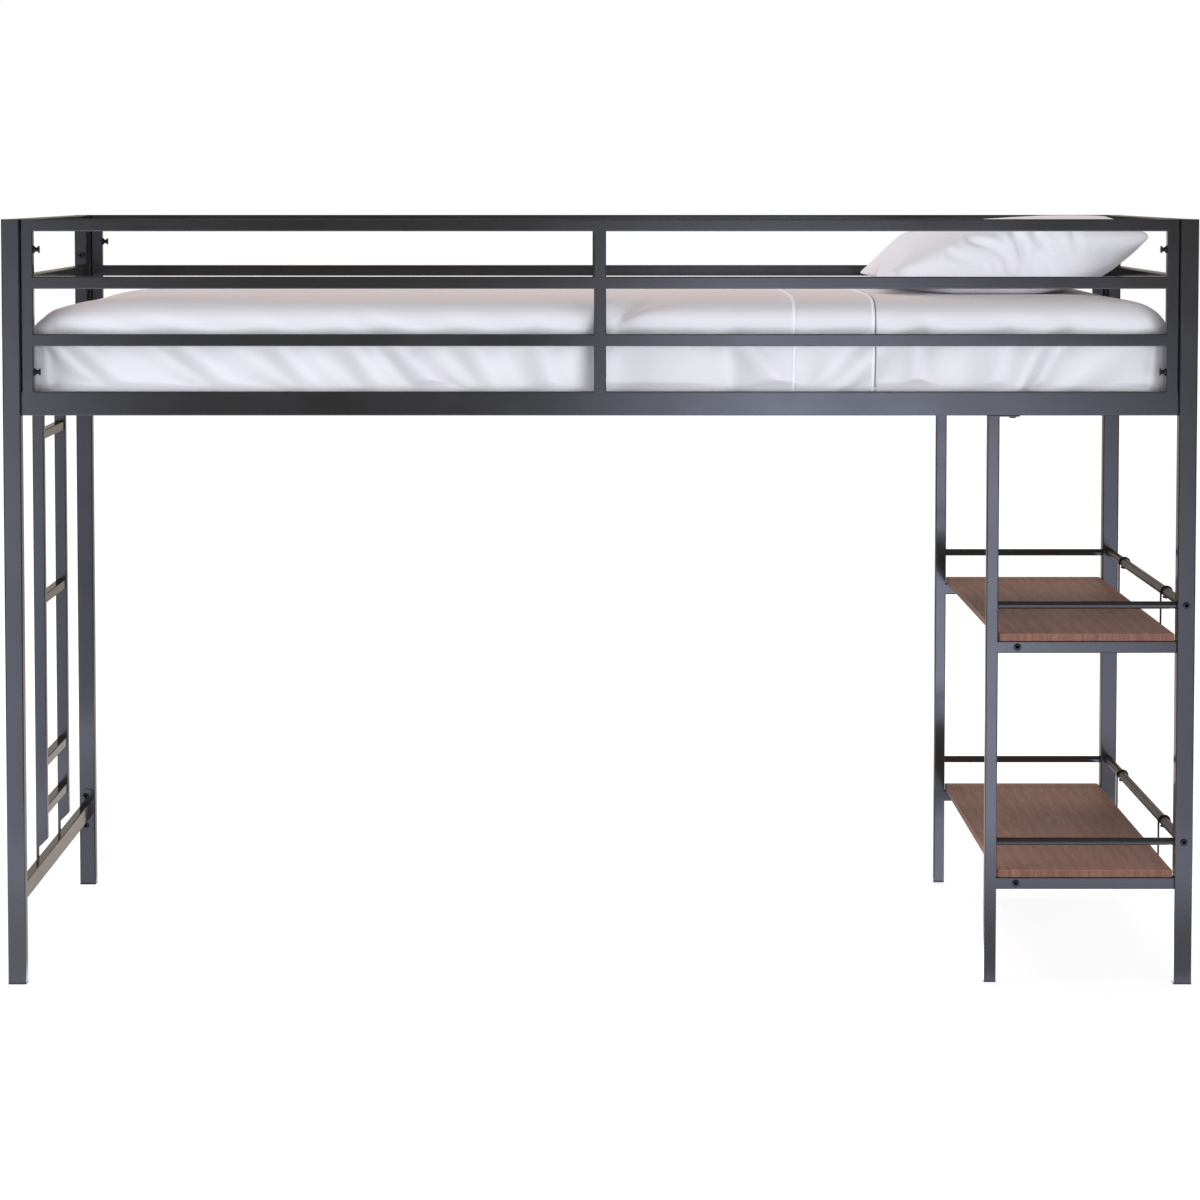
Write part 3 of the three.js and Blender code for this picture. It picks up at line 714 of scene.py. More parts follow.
class LOFTBED_PG_stage(PropertyGroup):
    """Floor, lamps and camera."""

    floor: tint("Floor", "Colour of the floor", (0.3, 0.3, 0.3))
    lens: amount("Lens", "Focal length in millimetres", 127.88)
    ambient: tint("Ambient", "Light from all round", (0.42, 0.405, 0.39), 4)
    wall: tint("Wall", "What reflections find behind the bed", (0.36, 0.325, 0.29), 4)
    room: tint("Room", "What reflections find before the bed", (0.02, 0.02, 0.02), 4)
    key: amount("Key light", "Brightness of the front softbox", 5.3)
    side: amount("Side light", "Brightness of the softbox at the ladder's side", 6.0)
    top: amount("Top light", "Brightness of the softbox above and behind", 7.4)
    windows: amount("Windows", "Brightness of the windows in reflections", 1.0)
    mirrored_floor: tint("Mirrored floor", "Reflected floor behind the bed", (0.285, 0.235, 0.195), 4)
    front_floor: tint("Front floor", "Reflected floor well before the bed", (2.5, 2.7, 3.6), 4)
    near_floor: tint("Near floor", "Reflected floor by the front feet", (0.85, 0.9, 1.15), 4)
    glow: amount("Floor glow", "How white the floor is by the bed", 0.85)


SETTINGS = {
    "loft_bed_paint": LOFTBED_PG_paint,
    "loft_bed_rods": LOFTBED_PG_rods,
    "loft_bed_bolts": LOFTBED_PG_bolts,
    "loft_bed_boards": LOFTBED_PG_boards,
    "loft_bed_mattress": LOFTBED_PG_mattress,
    "loft_bed_pillow": LOFTBED_PG_pillow,
    "loft_bed_stage": LOFTBED_PG_stage,
}


# ---------------------------------------------------------------- operators


def give(names, finish):
    """Puts one finish on the CAD nodes of these names."""
    for name in names:
        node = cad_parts[name]
        node.data.materials.clear()
        node.data.materials.append(finish)


class LOFTBED_OT_frame_finish(Operator):
    """Powder coat on the posts, panels, ladder, shelf frames and slats, and plastic on the feet"""

    bl_idname = "loft_bed.frame_finish"
    bl_label = "Finish the Frame"

    def execute(self, context):
        paint = context.scene.loft_bed_paint
        feet = nodes_named("post_foot_", "shelf_foot_")
        tubes = nodes_named(
            "post_", "side_panel_", "end_panel_", "ladder", "shelf_frame_", "shelf_cross_", "lower_end_"
        )
        give([name for name in tubes if name not in feet], painted_steel("powder_coated_steel", paint))
        give(nodes_named("slat_"), painted_steel("slat_steel", paint, wear=0.5, edge=0.0005))
        give(feet, self.plastic())
        return {"FINISHED"}

    def plastic(self):
        """Moulded plastic with a fine spark-eroded grain."""
        made, n, shader = material("moulded_black_plastic")
        tone = mottle(n, (0.014, 0.014, 0.015, 1), (0.018, 0.018, 0.019, 1), 30.0, 2200.0, 0.2)
        worn = n.group("Edge wear", Edge_Radius=0.0008, Patch_Size=90.0, Amount=0.6)
        n.plug(
            shader,
            Base_Color=n.mix(worn["Mask"], tone["Colour"], (0.06, 0.06, 0.062, 1)),
            Roughness=n.remap(tone["Fleck"], 0.3, 0.7, 0.5, 0.64),
            Normal=n.bump(tone["Fleck"], 0.00003, worn["Normal"]),
        )
        return made


class LOFTBED_OT_boards(Operator):
    """Walnut grain along the depth of the two shelf boards, with painted light that makes their faces paler
    toward the front
    """

    bl_idname = "loft_bed.boards"
    bl_label = "Finish the Shelf Boards"

    def execute(self, context):
        boards = context.scene.loft_bed_boards
        made, n, shader = material("walnut_board")
        colours = {"Light": rgba(boards.light), "Dark": rgba(boards.dark)}
        grain = n.group("Wood grain", Figure_Scale=boards.figure, **colours)
        worn = n.group("Edge wear", Edge_Radius=0.0012, Patch_Size=25.0, Amount=0.4)
        plain = grain["Colour"]
        # Painted light: the board's faces grow up to about 1.9 times paler toward its front, standing in for
        # the front light falling there.
        painted_front_light = n.tinted(plain, (1.85, 1.88, 1.92, 1))
        banded = n.tinted(plain, (0.87, 0.73, 0.65, 1))
        face_with_painted_light = n.mix(n.remap(n.axes(n.place())["Y"], 0.12, -0.40), plain, painted_front_light)
        end_face = n.remap(n.unsigned(n.axes(n.normal())["Y"]), 0.6, 0.9)
        n.plug(
            shader,
            Base_Color=n.mix(worn["Mask"], n.mix(end_face, face_with_painted_light, banded), (0.3, 0.2, 0.16, 1)),
            Roughness=n.remap(grain["Fibre"], 0.3, 0.7, 0.42, 0.56),
            Normal=n.bump(grain["Height"], 0.00008, worn["Normal"]),
        )
        give(nodes_named("shelf_board_"), made)
        return {"FINISHED"}


def bolt_finish(settings):
    """The bolts' black oxide, made once."""
    name = "black_oxide_bolt"
    made = bpy.data.materials.get(name)
    return made or painted_steel(name, settings, peel=0.000006, wear=0.7, edge=0.0004)


class LOFTBED_OT_grip_bolts(Operator):
    """Sixteen waisted bolts that hold the panels to the posts"""

    bl_idname = "loft_bed.grip_bolts"
    bl_label = "Add the Grip Bolts"

    def execute(self, context):
        bolts = context.scene.loft_bed_bolts
        finish = bolt_finish(bolts)
        for name in nodes_named("side_bolt_", "end_bolt_"):
            low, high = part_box(name)
            axis = 0 if name.startswith("side") else 1
            at, direction = (low + high) / 2, Vector((0, 0, 0))
            direction[axis] = -1 if at[axis] > 0 else 1
            at[axis] = low[axis] if at[axis] > 0 else high[axis]
            bm = self.bolt(bolts, high[axis] - low[axis])
            aim(bm, at, direction)
            new_piece(f"{name}_turned", bm, finish, replaces=[name])
        return {"FINISHED"}

    def bolt(self, bolts, whole):
        """A bolt whose socketed rim faces +Z at z = 0 and whose shank reaches down."""
        wide, neck, shank = bolts.grip_width / 2, bolts.grip_neck / 2, 0.003
        length, rim, ease = 0.010, 0.0014, 0.0004
        waist = [
            (neck + (wide - neck) * abs(share) ** 1.7, -length / 2 + share * (length / 2 - rim))
            for share in (-1, -0.8, -0.6, -0.35, 0, 0.35, 0.6, 0.8, 1)
        ]
        tip = [(0, -whole), (shank - 0.0009, -whole), (shank, -whole + 0.0012), (shank, -length)]
        far_rim = [(wide - ease, -length), (wide, -length + ease)]
        bm = turned([*tip, *far_rim, *waist, (wide, -ease), (wide - ease, 0)], bolts.steps)
        cut_socket(bm, 0, bolts.socket, depth=0.0035, steps=bolts.steps)
        return bm


# Heads of the small bolts: width, height.
RAIL_HEAD = (0.0115, 0.003)
LADDER_HEAD = (0.0125, 0.0019)
TAB_HEAD = (0.0125, 0.0032)
TUBE_HEAD = (0.0128, 0.002)


class LOFTBED_OT_socket_bolts(Operator):
    """The low round-headed bolts of the lower rail, ladder, shelf frames and gallery tubes"""

    bl_idname = "loft_bed.socket_bolts"
    bl_label = "Add the Socket Bolts"

    def execute(self, context):
        bolts = context.scene.loft_bed_bolts
        finish = bolt_finish(bolts)
        for name, at, direction, head in self.places():
            bm = round_head_bolt(*head, bolts.steps)
            aim(bm, at, direction)
            new_piece(name, bm, finish)
        return {"FINISHED"}

    def places(self):
        """Name, place, outward direction and head of each bolt."""
        rail_low, rail_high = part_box("lower_end_rail")
        ladder_low, ladder_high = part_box("ladder")
        middle = (rail_low.z + rail_high.z) / 2
        plate, half_tube, spread, tab_drop, tab_reach, tab = 0.0025, 0.010, 0.0285, 0.016, 0.0425, 0.002
        for side, way in SIDES.items():
            for level, rise in (("upper", spread), ("lower", -spread)):
                at = (rail_low.x + half_tube, way * (rail_high.y - plate), middle + rise)
                yield f"lower_rail_bolt_{side}_{level}", at, (0, -way, 0), RAIL_HEAD
            stile = way * (ladder_high.y - half_tube)
            for level, z in (("upper", ladder_high.z - tab_drop), ("lower", middle)):
                yield f"ladder_bolt_{side}_{level}", (ladder_low.x, stile, z), (-1, 0, 0), LADDER_HEAD
            tab_low, tab_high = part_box(f"shelf_frame_{side}")
            line = (tab_low.y + tab_high.y) / 2
            at = (tab_low.x + tab_reach, line, tab_high.z - tab)
            yield f"shelf_tab_bolt_{side}", at, (0, 0, -1), TAB_HEAD
            for level in LEVELS:
                for node, name, y in (
                    (f"shelf_cross_bar_{level}", f"cross_bar_bolt_{level}_{side}", line + way * half_tube),
                    (f"gallery_tube_{level}", f"gallery_bolt_{level}_{side}", way * CAD_BOX[1].y),
                ):
                    low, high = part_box(node)
                    at = ((low.x + high.x) / 2, y, (low.z + high.z) / 2)
                    yield name, at, (0, way, 0), TUBE_HEAD


def arc(centre, radius, first, last, steps):
    """Points round a centre in the XZ plane, from one angle to another in degrees."""
    angles = [math.radians(first + (last - first) * number / steps) for number in range(steps + 1)]
    return [centre + Vector((radius * math.cos(a), 0, radius * math.sin(a))) for a in angles]


class LOFTBED_OT_gallery(Operator):
    """The round gallery tubes of the shelf end and the wire hangers that hold the boards"""

    bl_idname = "loft_bed.gallery"
    bl_label = "Add the Gallery Tubes and Hangers"

    def execute(self, context):
        rods = context.scene.loft_bed_rods
        enamel = painted_steel("gallery_enamel", rods, peel=0.000008, wear=0.3, edge=0.0005)
        duller = {"Specular_IOR_Level": 0.12}
        wire = painted_steel("hanger_wire", rods, peel=0.000004, wear=0.3, edge=0.0003, **duller)
        for level in LEVELS:
            name = f"gallery_tube_{level}"
            low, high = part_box(name)
            radius, length, ease = (high.z - low.z) / 2, high.y - low.y, 0.0008
            start = [(0, 0), (radius - ease, 0), (radius, ease)]
            bm = turned([*start, (radius, length - ease), (radius - ease, length), (0, length)], 48)
            centre = Vector(((low.x + high.x) / 2, low.y, (low.z + high.z) / 2))
            aim(bm, centre, (0, 1, 0))
            new_piece(f"{name}_enamelled", bm, enamel, replaces=[name])
            board_low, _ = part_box(f"shelf_board_{level}")
            for side in SIDES:
                self.hanger(f"board_hanger_{level}_{side}", centre, board_low.z, wire)
        return {"FINISHED"}

    def hanger(self, name, tube, board_bottom, finish):
        """A wire that loops over the tube, drops beside the board and turns in under it."""
        low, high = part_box(name)
        y, radius = (low.y + high.y) / 2, (high.y - low.y) / 2
        loop, bend, gap, tip = high.z - radius - tube.z, 0.005, 0.00035, 0.0015
        toe = board_bottom - gap - radius
        line = arc(Vector((tube.x, y, tube.z)), loop, 232, 540, 36)
        corner = arc(Vector((tube.x - loop - bend, y, toe + bend)), bend, 0, -90, 8)
        line += [(line[-1] + corner[0]) / 2, *corner, Vector((low.x + tip, y, toe))]
        new_piece(f"{name}_wire", sweep(line, radius, 12), finish, replaces=[name], sharp=50)


# Pulls of the sheet's long sides: X at the height PULL_TOP, X one PULL_RUN below, half width, height.
PULL_TOP, PULL_RUN = 1.065, 0.06
PULLS = (
    (-0.9, -0.82, 0.02, 0.021), (-0.866, -0.808, 0.018, -0.021), (-0.742, -0.652, 0.022, 0.019),
    (-0.697, -0.632, 0.02, -0.015), (-0.6, -0.512, 0.032, 0.022), (-0.531, -0.484, 0.02, -0.014),
    (-0.481, -0.409, 0.032, 0.022), (-0.408, -0.375, 0.018, -0.01), (-0.37, -0.32, 0.026, 0.018),
    (-0.338, -0.282, 0.018, -0.026), (-0.268, -0.21, 0.034, 0.022), (-0.213, -0.18, 0.02, -0.012),
    (-0.16, -0.132, 0.036, 0.02), (-0.095, -0.085, 0.018, -0.01), (-0.047, -0.04, 0.034, 0.018),
    (0.07, 0.08, 0.022, -0.004), (0.215, 0.218, 0.029, 0.022), (0.248, 0.3, 0.019, -0.019),
    (0.35, 0.345, 0.026, 0.01), (0.425, 0.372, 0.018, -0.013), (0.465, 0.402, 0.03, 0.022),
    (0.538, 0.533, 0.018, -0.026), (0.605, 0.6, 0.04, 0.018), (0.68, 0.668, 0.018, -0.014),
    (0.735, 0.702, 0.024, 0.022), (0.768, 0.738, 0.018, -0.021), (0.85, 0.785, 0.045, 0.022),
)


class LOFTBED_OT_mattress(Operator):
    """The mattress in a fitted sheet: a swollen block with folds, two pressed seams across it lightened as a
    painted highlight, and a painted shadow line beside the second
    """

    bl_idname = "loft_bed.mattress"
    bl_label = "Add the Mattress"

    def execute(self, context):
        settings = context.scene.loft_bed_mattress
        low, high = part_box("mattress")
        piece = self.block(low, high)
        rebuild(piece, "REMESH", mode="VOXEL", voxel_size=settings.voxel, use_smooth_shade=True)
        inflate(piece, pressure=4.0, frames=20, most=settings.swell, quality=4)
        places = fit_between(coordinates(piece), low, high)
        set_coordinates(piece, self.crown(places, low, high))
        rebuild(piece, "SUBSURF", levels=1, render_levels=1)
        self.fold(piece, low)
        relax(piece, 2)
        set_coordinates(piece, np.clip(coordinates(piece), low, high))
        map_cloth(piece)
        # The warmer tint on the sheet's top is painted light from above.
        sheet = bed_cloth("fitted_sheet_percale", settings, painted_top_light=(1.035, 0.98, 0.962))
        piece.data.materials.append(sheet)
        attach(piece, "mattress")
        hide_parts("mattress")
        # The seam cloth is the sheet made 1.2 times lighter: a painted highlight along the raised seams.
        highlit_seam = bed_cloth("seam_painted_highlight", settings, lift=1.2)
        # Painted shadow: a thin line of cloth at 0.3 times the sheet's colour, laid beside the second seam
        # where its shade falls.
        painted_shadow = bed_cloth("seam_painted_shadow", settings, lift=0.3)
        self.seam(piece, "mattress_seam_1", highlit_seam, x=0.324, radius=0.0026)
        self.seam(piece, "mattress_seam_2", highlit_seam, x=0.456, radius=0.0024)
        self.seam(piece, "mattress_seam_2_painted_shadow", painted_shadow, x=0.4592, radius=0.0013)
        return {"FINISHED"}

    def block(self, low, high):
        """The mattress block, a little small, with its corners and edges rounded."""
        corner_radius, top_radius, foot_radius = 0.048, 0.068, 0.014
        bm, inset = bmesh.new(), Vector((0.008, 0.008, 0.008))
        size = Matrix.Diagonal((*(high - low - inset * 2), 1))
        bmesh.ops.create_cube(bm, size=1, matrix=Matrix.Translation((low + high) / 2) @ size)
        rounding = {"offset_type": "OFFSET", "affect": "EDGES", "profile": 0.5, "material": -1}
        rounding["clamp_overlap"] = True
        upright = [e for e in bm.edges if abs(e.verts[0].co.z - e.verts[1].co.z) > 0.01]
        bmesh.ops.bevel(bm, geom=upright, offset=corner_radius, segments=6, **rounding)
        for way, radius in ((1, top_radius), (-1, foot_radius)):
            rims = [e for e in bm.edges if sum(f.normal.z * way > 0.9 for f in e.link_faces) == 1]
            bmesh.ops.bevel(bm, geom=rims, offset=radius, segments=7, **rounding)
        bmesh.ops.recalc_face_normals(bm, faces=bm.faces)
        return object_from("mattress_in_sheet", bm)

    def crown(self, places, low, high):
        """Lets the top fall away to the ends, more at the ladder end."""
        share = np.clip((places[:, 2] - low.z) / (high.z - low.z), 0, 1) ** 2
        ends = ((places[:, 0] - low.x, 0.020, 0.09), (high.x - places[:, 0], 0.010, 0.05))
        for distance, drop, reach in ends:
            places[:, 2] -= share * drop * bell(distance, reach, 1.2)
        return places

    def fold(self, piece, low):
        """Soft pulls in the sheet's long sides, and a bowed crease and a nip over the front edge."""
        places, normals = coordinates(piece), normals_of(piece)
        x, y, z = places.T
        lift = np.zeros(len(places))
        down = (PULL_TOP - z) / PULL_RUN
        fade = step(1.090 - z, 0.012)
        for top, foot, width, height in PULLS:
            slope = math.hypot(1, (foot - top) / PULL_RUN)
            lift += height * fade * bell(x - (top + (foot - top) * down), slope * width)
        side = np.abs(normals[:, 1])
        lift -= lift[side > 0.9].max() * fade
        bow_x, bow_z, bow_radius = 0.106, 1.062, 0.088
        bow = np.hypot((x - bow_x) / 1.15, z - bow_z) - bow_radius
        left = step(bow_x - x, 0.012) * step(z - 1.045, 0.010)
        crease = 0.006 * bell(bow - 0.026, 0.014) - 0.017 * bell(bow, 0.012)
        nip = -0.005 * bell(x + 0.920 + 0.8 * (z - 1.10), 0.014) * bell(z - 1.095, 0.02)
        front_edge = (y < 0) * bell(y - low.y, 0.11, 4)
        out = np.clip(side, 0, 1) ** 2 * lift + front_edge * (left * crease + nip)
        set_coordinates(piece, places + normals * out[:, None])

    def seam(self, sheet, name, finish, x, radius):
        """A pressed seam, or the painted shadow line beside one, that runs right round the mattress at one
        place along it.
        """
        bm = sweep(section_line(sheet, x, spacing=0.012), radius, sides=10, closed=True)
        map_cloth(new_piece(name, bm, finish, body="mattress", sharp=None))


# The flat pillowcase, along the bed and across it.
CASE_SIZE = (0.49, 0.71)
# The pillow's height above its seam, and its depth below it, from its ladder end to its shelf end.
PILLOW_CREST = (
    (-1.0, 0.003), (-0.97, 0.012), (-0.92, 0.023), (-0.84, 0.038), (-0.76, 0.053), (-0.68, 0.063),
    (-0.5, 0.067), (-0.3, 0.065), (0.0, 0.061), (0.4, 0.054), (0.7, 0.050), (0.92, 0.042), (1.0, 0.02),
)
PILLOW_FOOT = (
    (-1.0, 0.003), (-0.9, 0.024), (-0.8, 0.034), (-0.65, 0.05), (-0.45, 0.085),
    (0.5, 0.085), (0.75, 0.072), (0.9, 0.055), (1.0, 0.02),
)
# Its creases: half width, depth, then places in X and Z.
PILLOW_CREASES = (
    (0.006, 0.0040, (0.599, 1.217), (0.636, 1.202), (0.659, 1.194)),
    (0.006, 0.0050, (0.636, 1.240), (0.674, 1.228), (0.694, 1.214), (0.702, 1.191)),
    (0.006, 0.0060, (0.702, 1.262), (0.720, 1.237), (0.726, 1.214)),
    (0.006, 0.0060, (0.740, 1.262), (0.7515, 1.240), (0.769, 1.228), (0.780, 1.214)),
    (0.007, 0.0040, (0.808, 1.260), (0.819, 1.228)),
)


class LOFTBED_OT_pillow(Operator):
    """The pillow in its case, swollen from two flat layers and leant on the shelf end"""

    bl_idname = "loft_bed.pillow"
    bl_label = "Add the Pillow"

    def execute(self, context):
        settings = context.scene.loft_bed_pillow
        low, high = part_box("pillow")
        piece = self.case(settings.segments, *CASE_SIZE)
        inflate(piece, pressure=0.9, frames=20, most=0.09, quality=6, bending_stiffness=0.3)
        places = self.fill_out(coordinates(piece), low, high)
        set_coordinates(piece, self.lean(places, settings.tilt, low, high))
        rebuild(piece, "SUBSURF", levels=1, render_levels=1)
        self.crease(piece)
        places = coordinates(piece)
        places[:, 2] = np.maximum(places[:, 2], low.z)
        set_coordinates(piece, places)
        piece.data.materials.append(bed_cloth("pillowcase_percale", settings, crease=0.0009))
        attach(piece, "pillow")
        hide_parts("pillow")
        return {"FINISHED"}

    def case(self, across, width, length):
        """Two flat layers of cloth joined round the edge."""
        bm = bmesh.new()
        uv = bm.loops.layers.uv.new("cloth")
        bmesh.ops.create_grid(bm, x_segments=across, y_segments=round(across * length / width), size=0.5)
        for vert in bm.verts:
            drawn_in = 0.14 if vert.co.x < 0 else 0.04
            vert.co *= 1 - drawn_in * abs(4 * vert.co.x * vert.co.y) ** 6
        bmesh.ops.scale(bm, verts=bm.verts, vec=(width, length, 1))
        for loop in (loop for face in bm.faces for loop in face.loops):
            loop[uv].uv = loop.vert.co.xy
        below = bmesh.ops.duplicate(bm, geom=[*bm.verts, *bm.edges, *bm.faces])["geom"]
        bmesh.ops.reverse_faces(bm, faces=only(BMFace, below))
        lower = set(only(BMVert, below))
        for vert in bm.verts:
            share_x = 1 - (2 * abs(vert.co.x) / width) ** 2.5
            share_y = 1 - (2 * abs(vert.co.y) / length) ** 3
            rise = 0.0015 + 0.035 * math.sqrt(max(0, share_x * share_y))
            vert.co.z = -rise if vert in lower else rise
        bmesh.ops.bridge_loops(bm, edges=[e for e in bm.edges if e.is_boundary])
        bmesh.ops.recalc_face_normals(bm, faces=bm.faces)
        piece = object_from("pillow_in_case", bm)
        piece.data.shade_smooth()
        return piece

    def fill_out(self, places, low, high):
        """Brings the pillow to its size and pushes the fill out to its seams."""
        middle = (places.max(0) + places.min(0)) / 2
        places = (places - middle) / ((places.max(0) - places.min(0)) / 2)
        height = np.abs(places[:, 2]) ** 0.72
        crest, foot = (np.interp(places[:, 0], *np.array(row).T) for row in (PILLOW_CREST, PILLOW_FOOT))
        droop = 0.008 * np.clip((-0.55 - places[:, 0]) / 0.45, 0, 1)
        places[:, 2] = np.where(places[:, 2] > 0, crest * height, -foot * height) - droop
        places[:, :2] *= (np.array(high) - np.array(low))[:2] / 2
        return places

    def lean(self, places, tilt, low, high):
        """Turns the pillow up toward the shelf end, in its place on the mattress."""
        seam_rise, over_box = 0.0666, 0.0035
        across, up = math.cos(tilt), math.sin(tilt)
        turn = np.array([[across, 0, -up], [0, 1, 0], [up, 0, across]])
        middle = (np.array(low) + np.array(high)) / 2
        middle[2] = low.z + seam_rise
        return np.clip(places @ turn.T + middle, low, (high.x, high.y, high.z + over_box))

    def crease(self, piece):
        """Presses bowed creases into the front of the pillow."""
        places, normals = coordinates(piece), normals_of(piece)
        depth = np.zeros(len(places))
        for width, height, *line in PILLOW_CREASES:
            away = distance_to_line(places[:, [0, 2]], np.array(line))
            depth += height * (0.5 * bell(away - 2 * width, width) - bell(away, width))
        front = np.clip(-normals[:, 1] * 2, 0, 1) * (places[:, 1] < -0.05)
        set_coordinates(piece, places + normals * (depth * front)[:, None])


# Windows seen in reflections, as slopes from the bed: near side, full, fade, far side,
# top, full below, slant, brightness.
WINDOWS = (
    (-0.012, 0.05, 0.052, 0.19, 0.0335, -0.0385, 0.39, 5.8),
    (-0.108, -0.146, -0.35, -0.5, 0.05, -0.075, 0.0, 3.6),
)
WINDOW_TINT = (0.93, 1.0, 1.33)
CAMERA_AT = (-0.0294176, -7.58212, 1.3334365)
CAMERA_DIP = 0.0738
CAMERA_SHIFT = (0.014764, -0.08273)


class LOFTBED_OT_stage(Operator):
    """A pale floor, soft lamps, the world and the camera"""

    bl_idname = "loft_bed.stage"
    bl_label = "Set the Stage"

    def execute(self, context):
        stage = context.scene.loft_bed_stage
        self.floor(stage)
        self.world(stage)
        for name, at, towards, size, radiance, colour in (
            ("front_softbox", (1.6, -5.4, 0.7), (0, -0.3, 1.0), (4.4, 2.0), stage.key, (0.97, 1.0, 1.075)),
            ("side_softbox", (-3.6, -2.6, 1.4), (0, -0.3, 1.05), (2.2, 1.6), stage.side, (0.97, 0.99, 1.06)),
            ("back_softbox", (0.0, 3.4, 3.4), (0, -0.2, 1.0), (3.0, 1.4), stage.top, (1.05, 0.95, 0.92)),
        ):
            self.lamp(name, at, towards, size, radiance, colour)
        self.camera(stage)
        context.scene.view_settings.view_transform = "Standard"
        return {"FINISHED"}

    def floor(self, stage):
        """A pale floor: white to the eye, with the bed's shadow, and glowing zones in reflections."""
        bm = bmesh.new()
        place = Matrix.Translation((0, 14.0, -0.0003)) @ Matrix.Diagonal((40, 32.2, 1, 1))
        bmesh.ops.create_grid(bm, x_segments=1, y_segments=1, size=0.5, matrix=place)
        floor = object_from("floor", bm)
        made, n, shader = material("pale_floor", Roughness=0.9, Specular_IOR_Level=0.0)
        n.plug(shader, Base_Color=rgba(stage.floor))
        spot = n.axes(n.place())
        x, y = spot["X"], spot["Y"]
        between_feet = n.times(n.remap(x, -0.97, -0.93), n.remap(x, 0.62, 0.6))
        under_bed = n.times(between_feet, n.remap(y, -0.53, -0.48))
        behind = n.most(n.ease(y, 0.45, 0.6), under_bed)
        near = n.times(n.ease(y, -2.0, -0.9), n.ease(y, -0.4, -0.7))
        by_the_feet = n.mix(n.ease(x, 0.2, -0.8), rgba(stage.near_floor), rgba(stage.near_floor, 2))
        far = stage.front_floor
        by_the_back = n.mix(n.remap(x, -1.0, 0.7), rgba(far, 0.55), rgba(far, 1.3))
        well_before = n.mix(n.remap(y, -0.7, -0.4), rgba(far), by_the_back)
        front = n.mix(near, well_before, by_the_feet)
        seen, glossy = n.rays()
        mirrored = n.mix(glossy, rgba((0, 0, 0)), n.mix(behind, front, rgba(stage.mirrored_floor)))
        reach = n.add("VectorMath", {0: n.place()}, operation="LENGTH").outputs["Value"]
        away = n.ease(reach, 1.0, 3.5, stage.glow, 1.0)
        white = n.add("CombineXYZ", {0: away, 1: away, 2: away}).outputs[0]
        glow = n.add("Emission", {"Color": n.mix(seen, mirrored, white), "Strength": 1.0}).outputs[0]
        nodes = made.node_tree.nodes
        both = n.add("AddShader", {0: nodes["Principled BSDF"].outputs[0], 1: glow}).outputs[0]
        n.plug(nodes["Material Output"].inputs, Surface=both)
        floor.data.materials.append(made)

    def world(self, stage):
        """White to the eye; reflections find a pale wall behind the bed and two windows before it."""
        world = bpy.data.worlds.new("studio")
        bpy.context.scene.world = world
        world.use_nodes = True
        n = Nodes(world.node_tree)
        way = n.axes(n.add("TexCoord").outputs["Generated"])
        forward = n.most(n.times(way["Y"], -1), 0.02)
        aside, rise = n.over(way["X"], forward), n.over(way["Z"], forward)
        windows = []
        for near, full, fade, end, top, bright, slant, strength in WINDOWS:
            across = n.times(n.ease(aside, near, full), n.ease(aside, end, fade))
            height = n.plus(rise, n.times(aside, slant))
            down = n.times(n.ease(height, top, bright), n.ease(rise, -0.9, -0.5))
            windows.append(n.times(n.times(across, down), strength * stage.windows))
        backdrop = n.mix(n.ease(way["Y"], -0.25, 0.15), rgba(stage.room), rgba(stage.wall))
        cool = n.scaled(WINDOW_TINT, n.plus(*windows))
        mirrored = n.add("VectorMath", {0: backdrop, 1: cool}, operation="ADD").outputs[0]
        seen, glossy = n.rays()
        shown = n.mix(seen, n.mix(glossy, rgba(stage.ambient), mirrored), rgba((1, 1, 1)))
        n.plug(world.node_tree.nodes["Background"].inputs, Color=shown)

    def lamp(self, name, at, towards, size, radiance, colour):
        """A soft lamp of a given brightness."""
        light = bpy.data.lights.new(name, "AREA")
        light.shape = "RECTANGLE"
        light.size, light.size_y = size
        light.energy = radiance * 4 * size[0] * size[1]
        light.color = colour
        lamp = link_object(name, light)
        lamp.location = at
        lamp.rotation_euler = (Vector(towards) - Vector(at)).to_track_quat("-Z", "Y").to_euler()
        lamp.visible_camera = lamp.visible_glossy = False

    def camera(self, stage):
        """The camera stands in front of the bed, a little above the mattress."""
        data = bpy.data.cameras.new("front_camera")
        data.lens = stage.lens
        data.sensor_width = 36
        data.shift_x, data.shift_y = CAMERA_SHIFT
        data.clip_end = 100
        camera = link_object("front_camera", data)
        camera.location = CAMERA_AT
        camera.rotation_euler = (math.pi / 2 - CAMERA_DIP, 0, 0)
        bpy.context.scene.camera = camera


class LOFTBED_PT_panel(Panel):
    """The loft bed's makers, in the order they run"""

    bl_idname = "LOFTBED_PT_panel"
    bl_label = "Loft Bed"
    bl_space_type = "VIEW_3D"
    bl_region_type = "UI"
    bl_category = "Loft Bed"

    def draw(self, context):
        for maker in OPERATORS:
            self.layout.operator(maker.bl_idname)


OPERATORS = (
    LOFTBED_OT_frame_finish,
    LOFTBED_OT_boards,
    LOFTBED_OT_grip_bolts,
    LOFTBED_OT_socket_bolts,
    LOFTBED_OT_gallery,
    LOFTBED_OT_mattress,
    LOFTBED_OT_pillow,
    LOFTBED_OT_stage,
)
CLASSES = (*SETTINGS.values(), *OPERATORS, LOFTBED_PT_panel)


def register():
    for each in CLASSES:
        bpy.utils.register_class(each)
    for name, group in SETTINGS.items():
        setattr(bpy.types.Scene, name, PointerProperty(type=group))


def unregister():
    for name in SETTINGS:
        delattr(bpy.types.Scene, name)
    for each in reversed(CLASSES):
        bpy.utils.unregister_class(each)


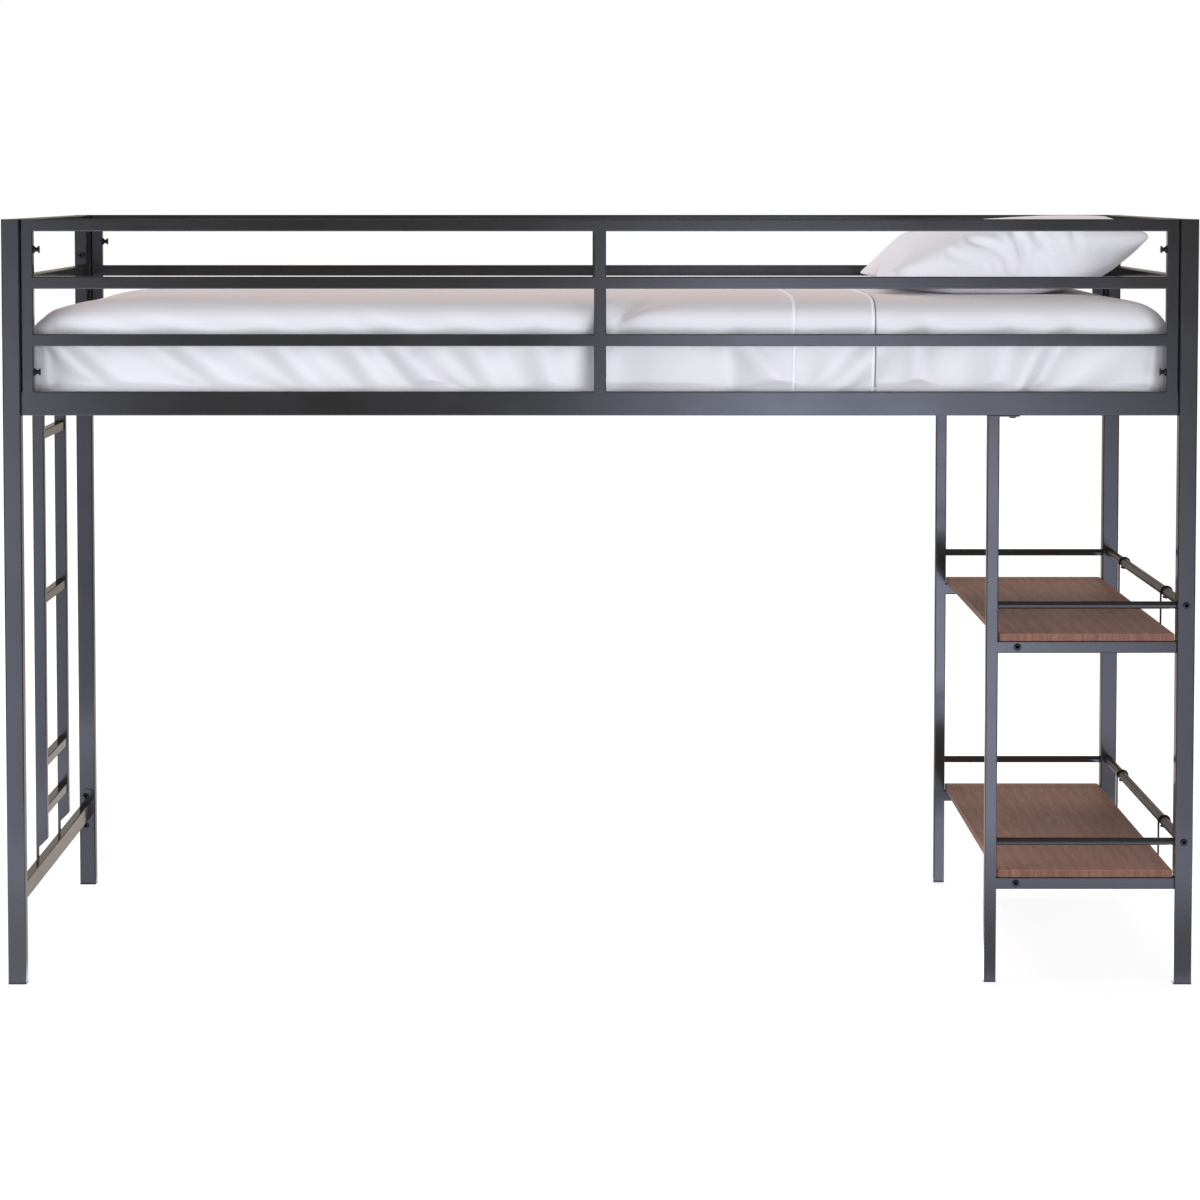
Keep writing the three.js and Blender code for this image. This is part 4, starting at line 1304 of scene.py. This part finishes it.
def main():
    register()
    bpy.ops.loft_bed.frame_finish()
    bpy.ops.loft_bed.boards()
    bpy.ops.loft_bed.grip_bolts()
    bpy.ops.loft_bed.socket_bolts()
    bpy.ops.loft_bed.gallery()
    bpy.ops.loft_bed.mattress()
    bpy.ops.loft_bed.pillow()
    bpy.ops.loft_bed.stage()


if __name__ == "__main__":
    main()
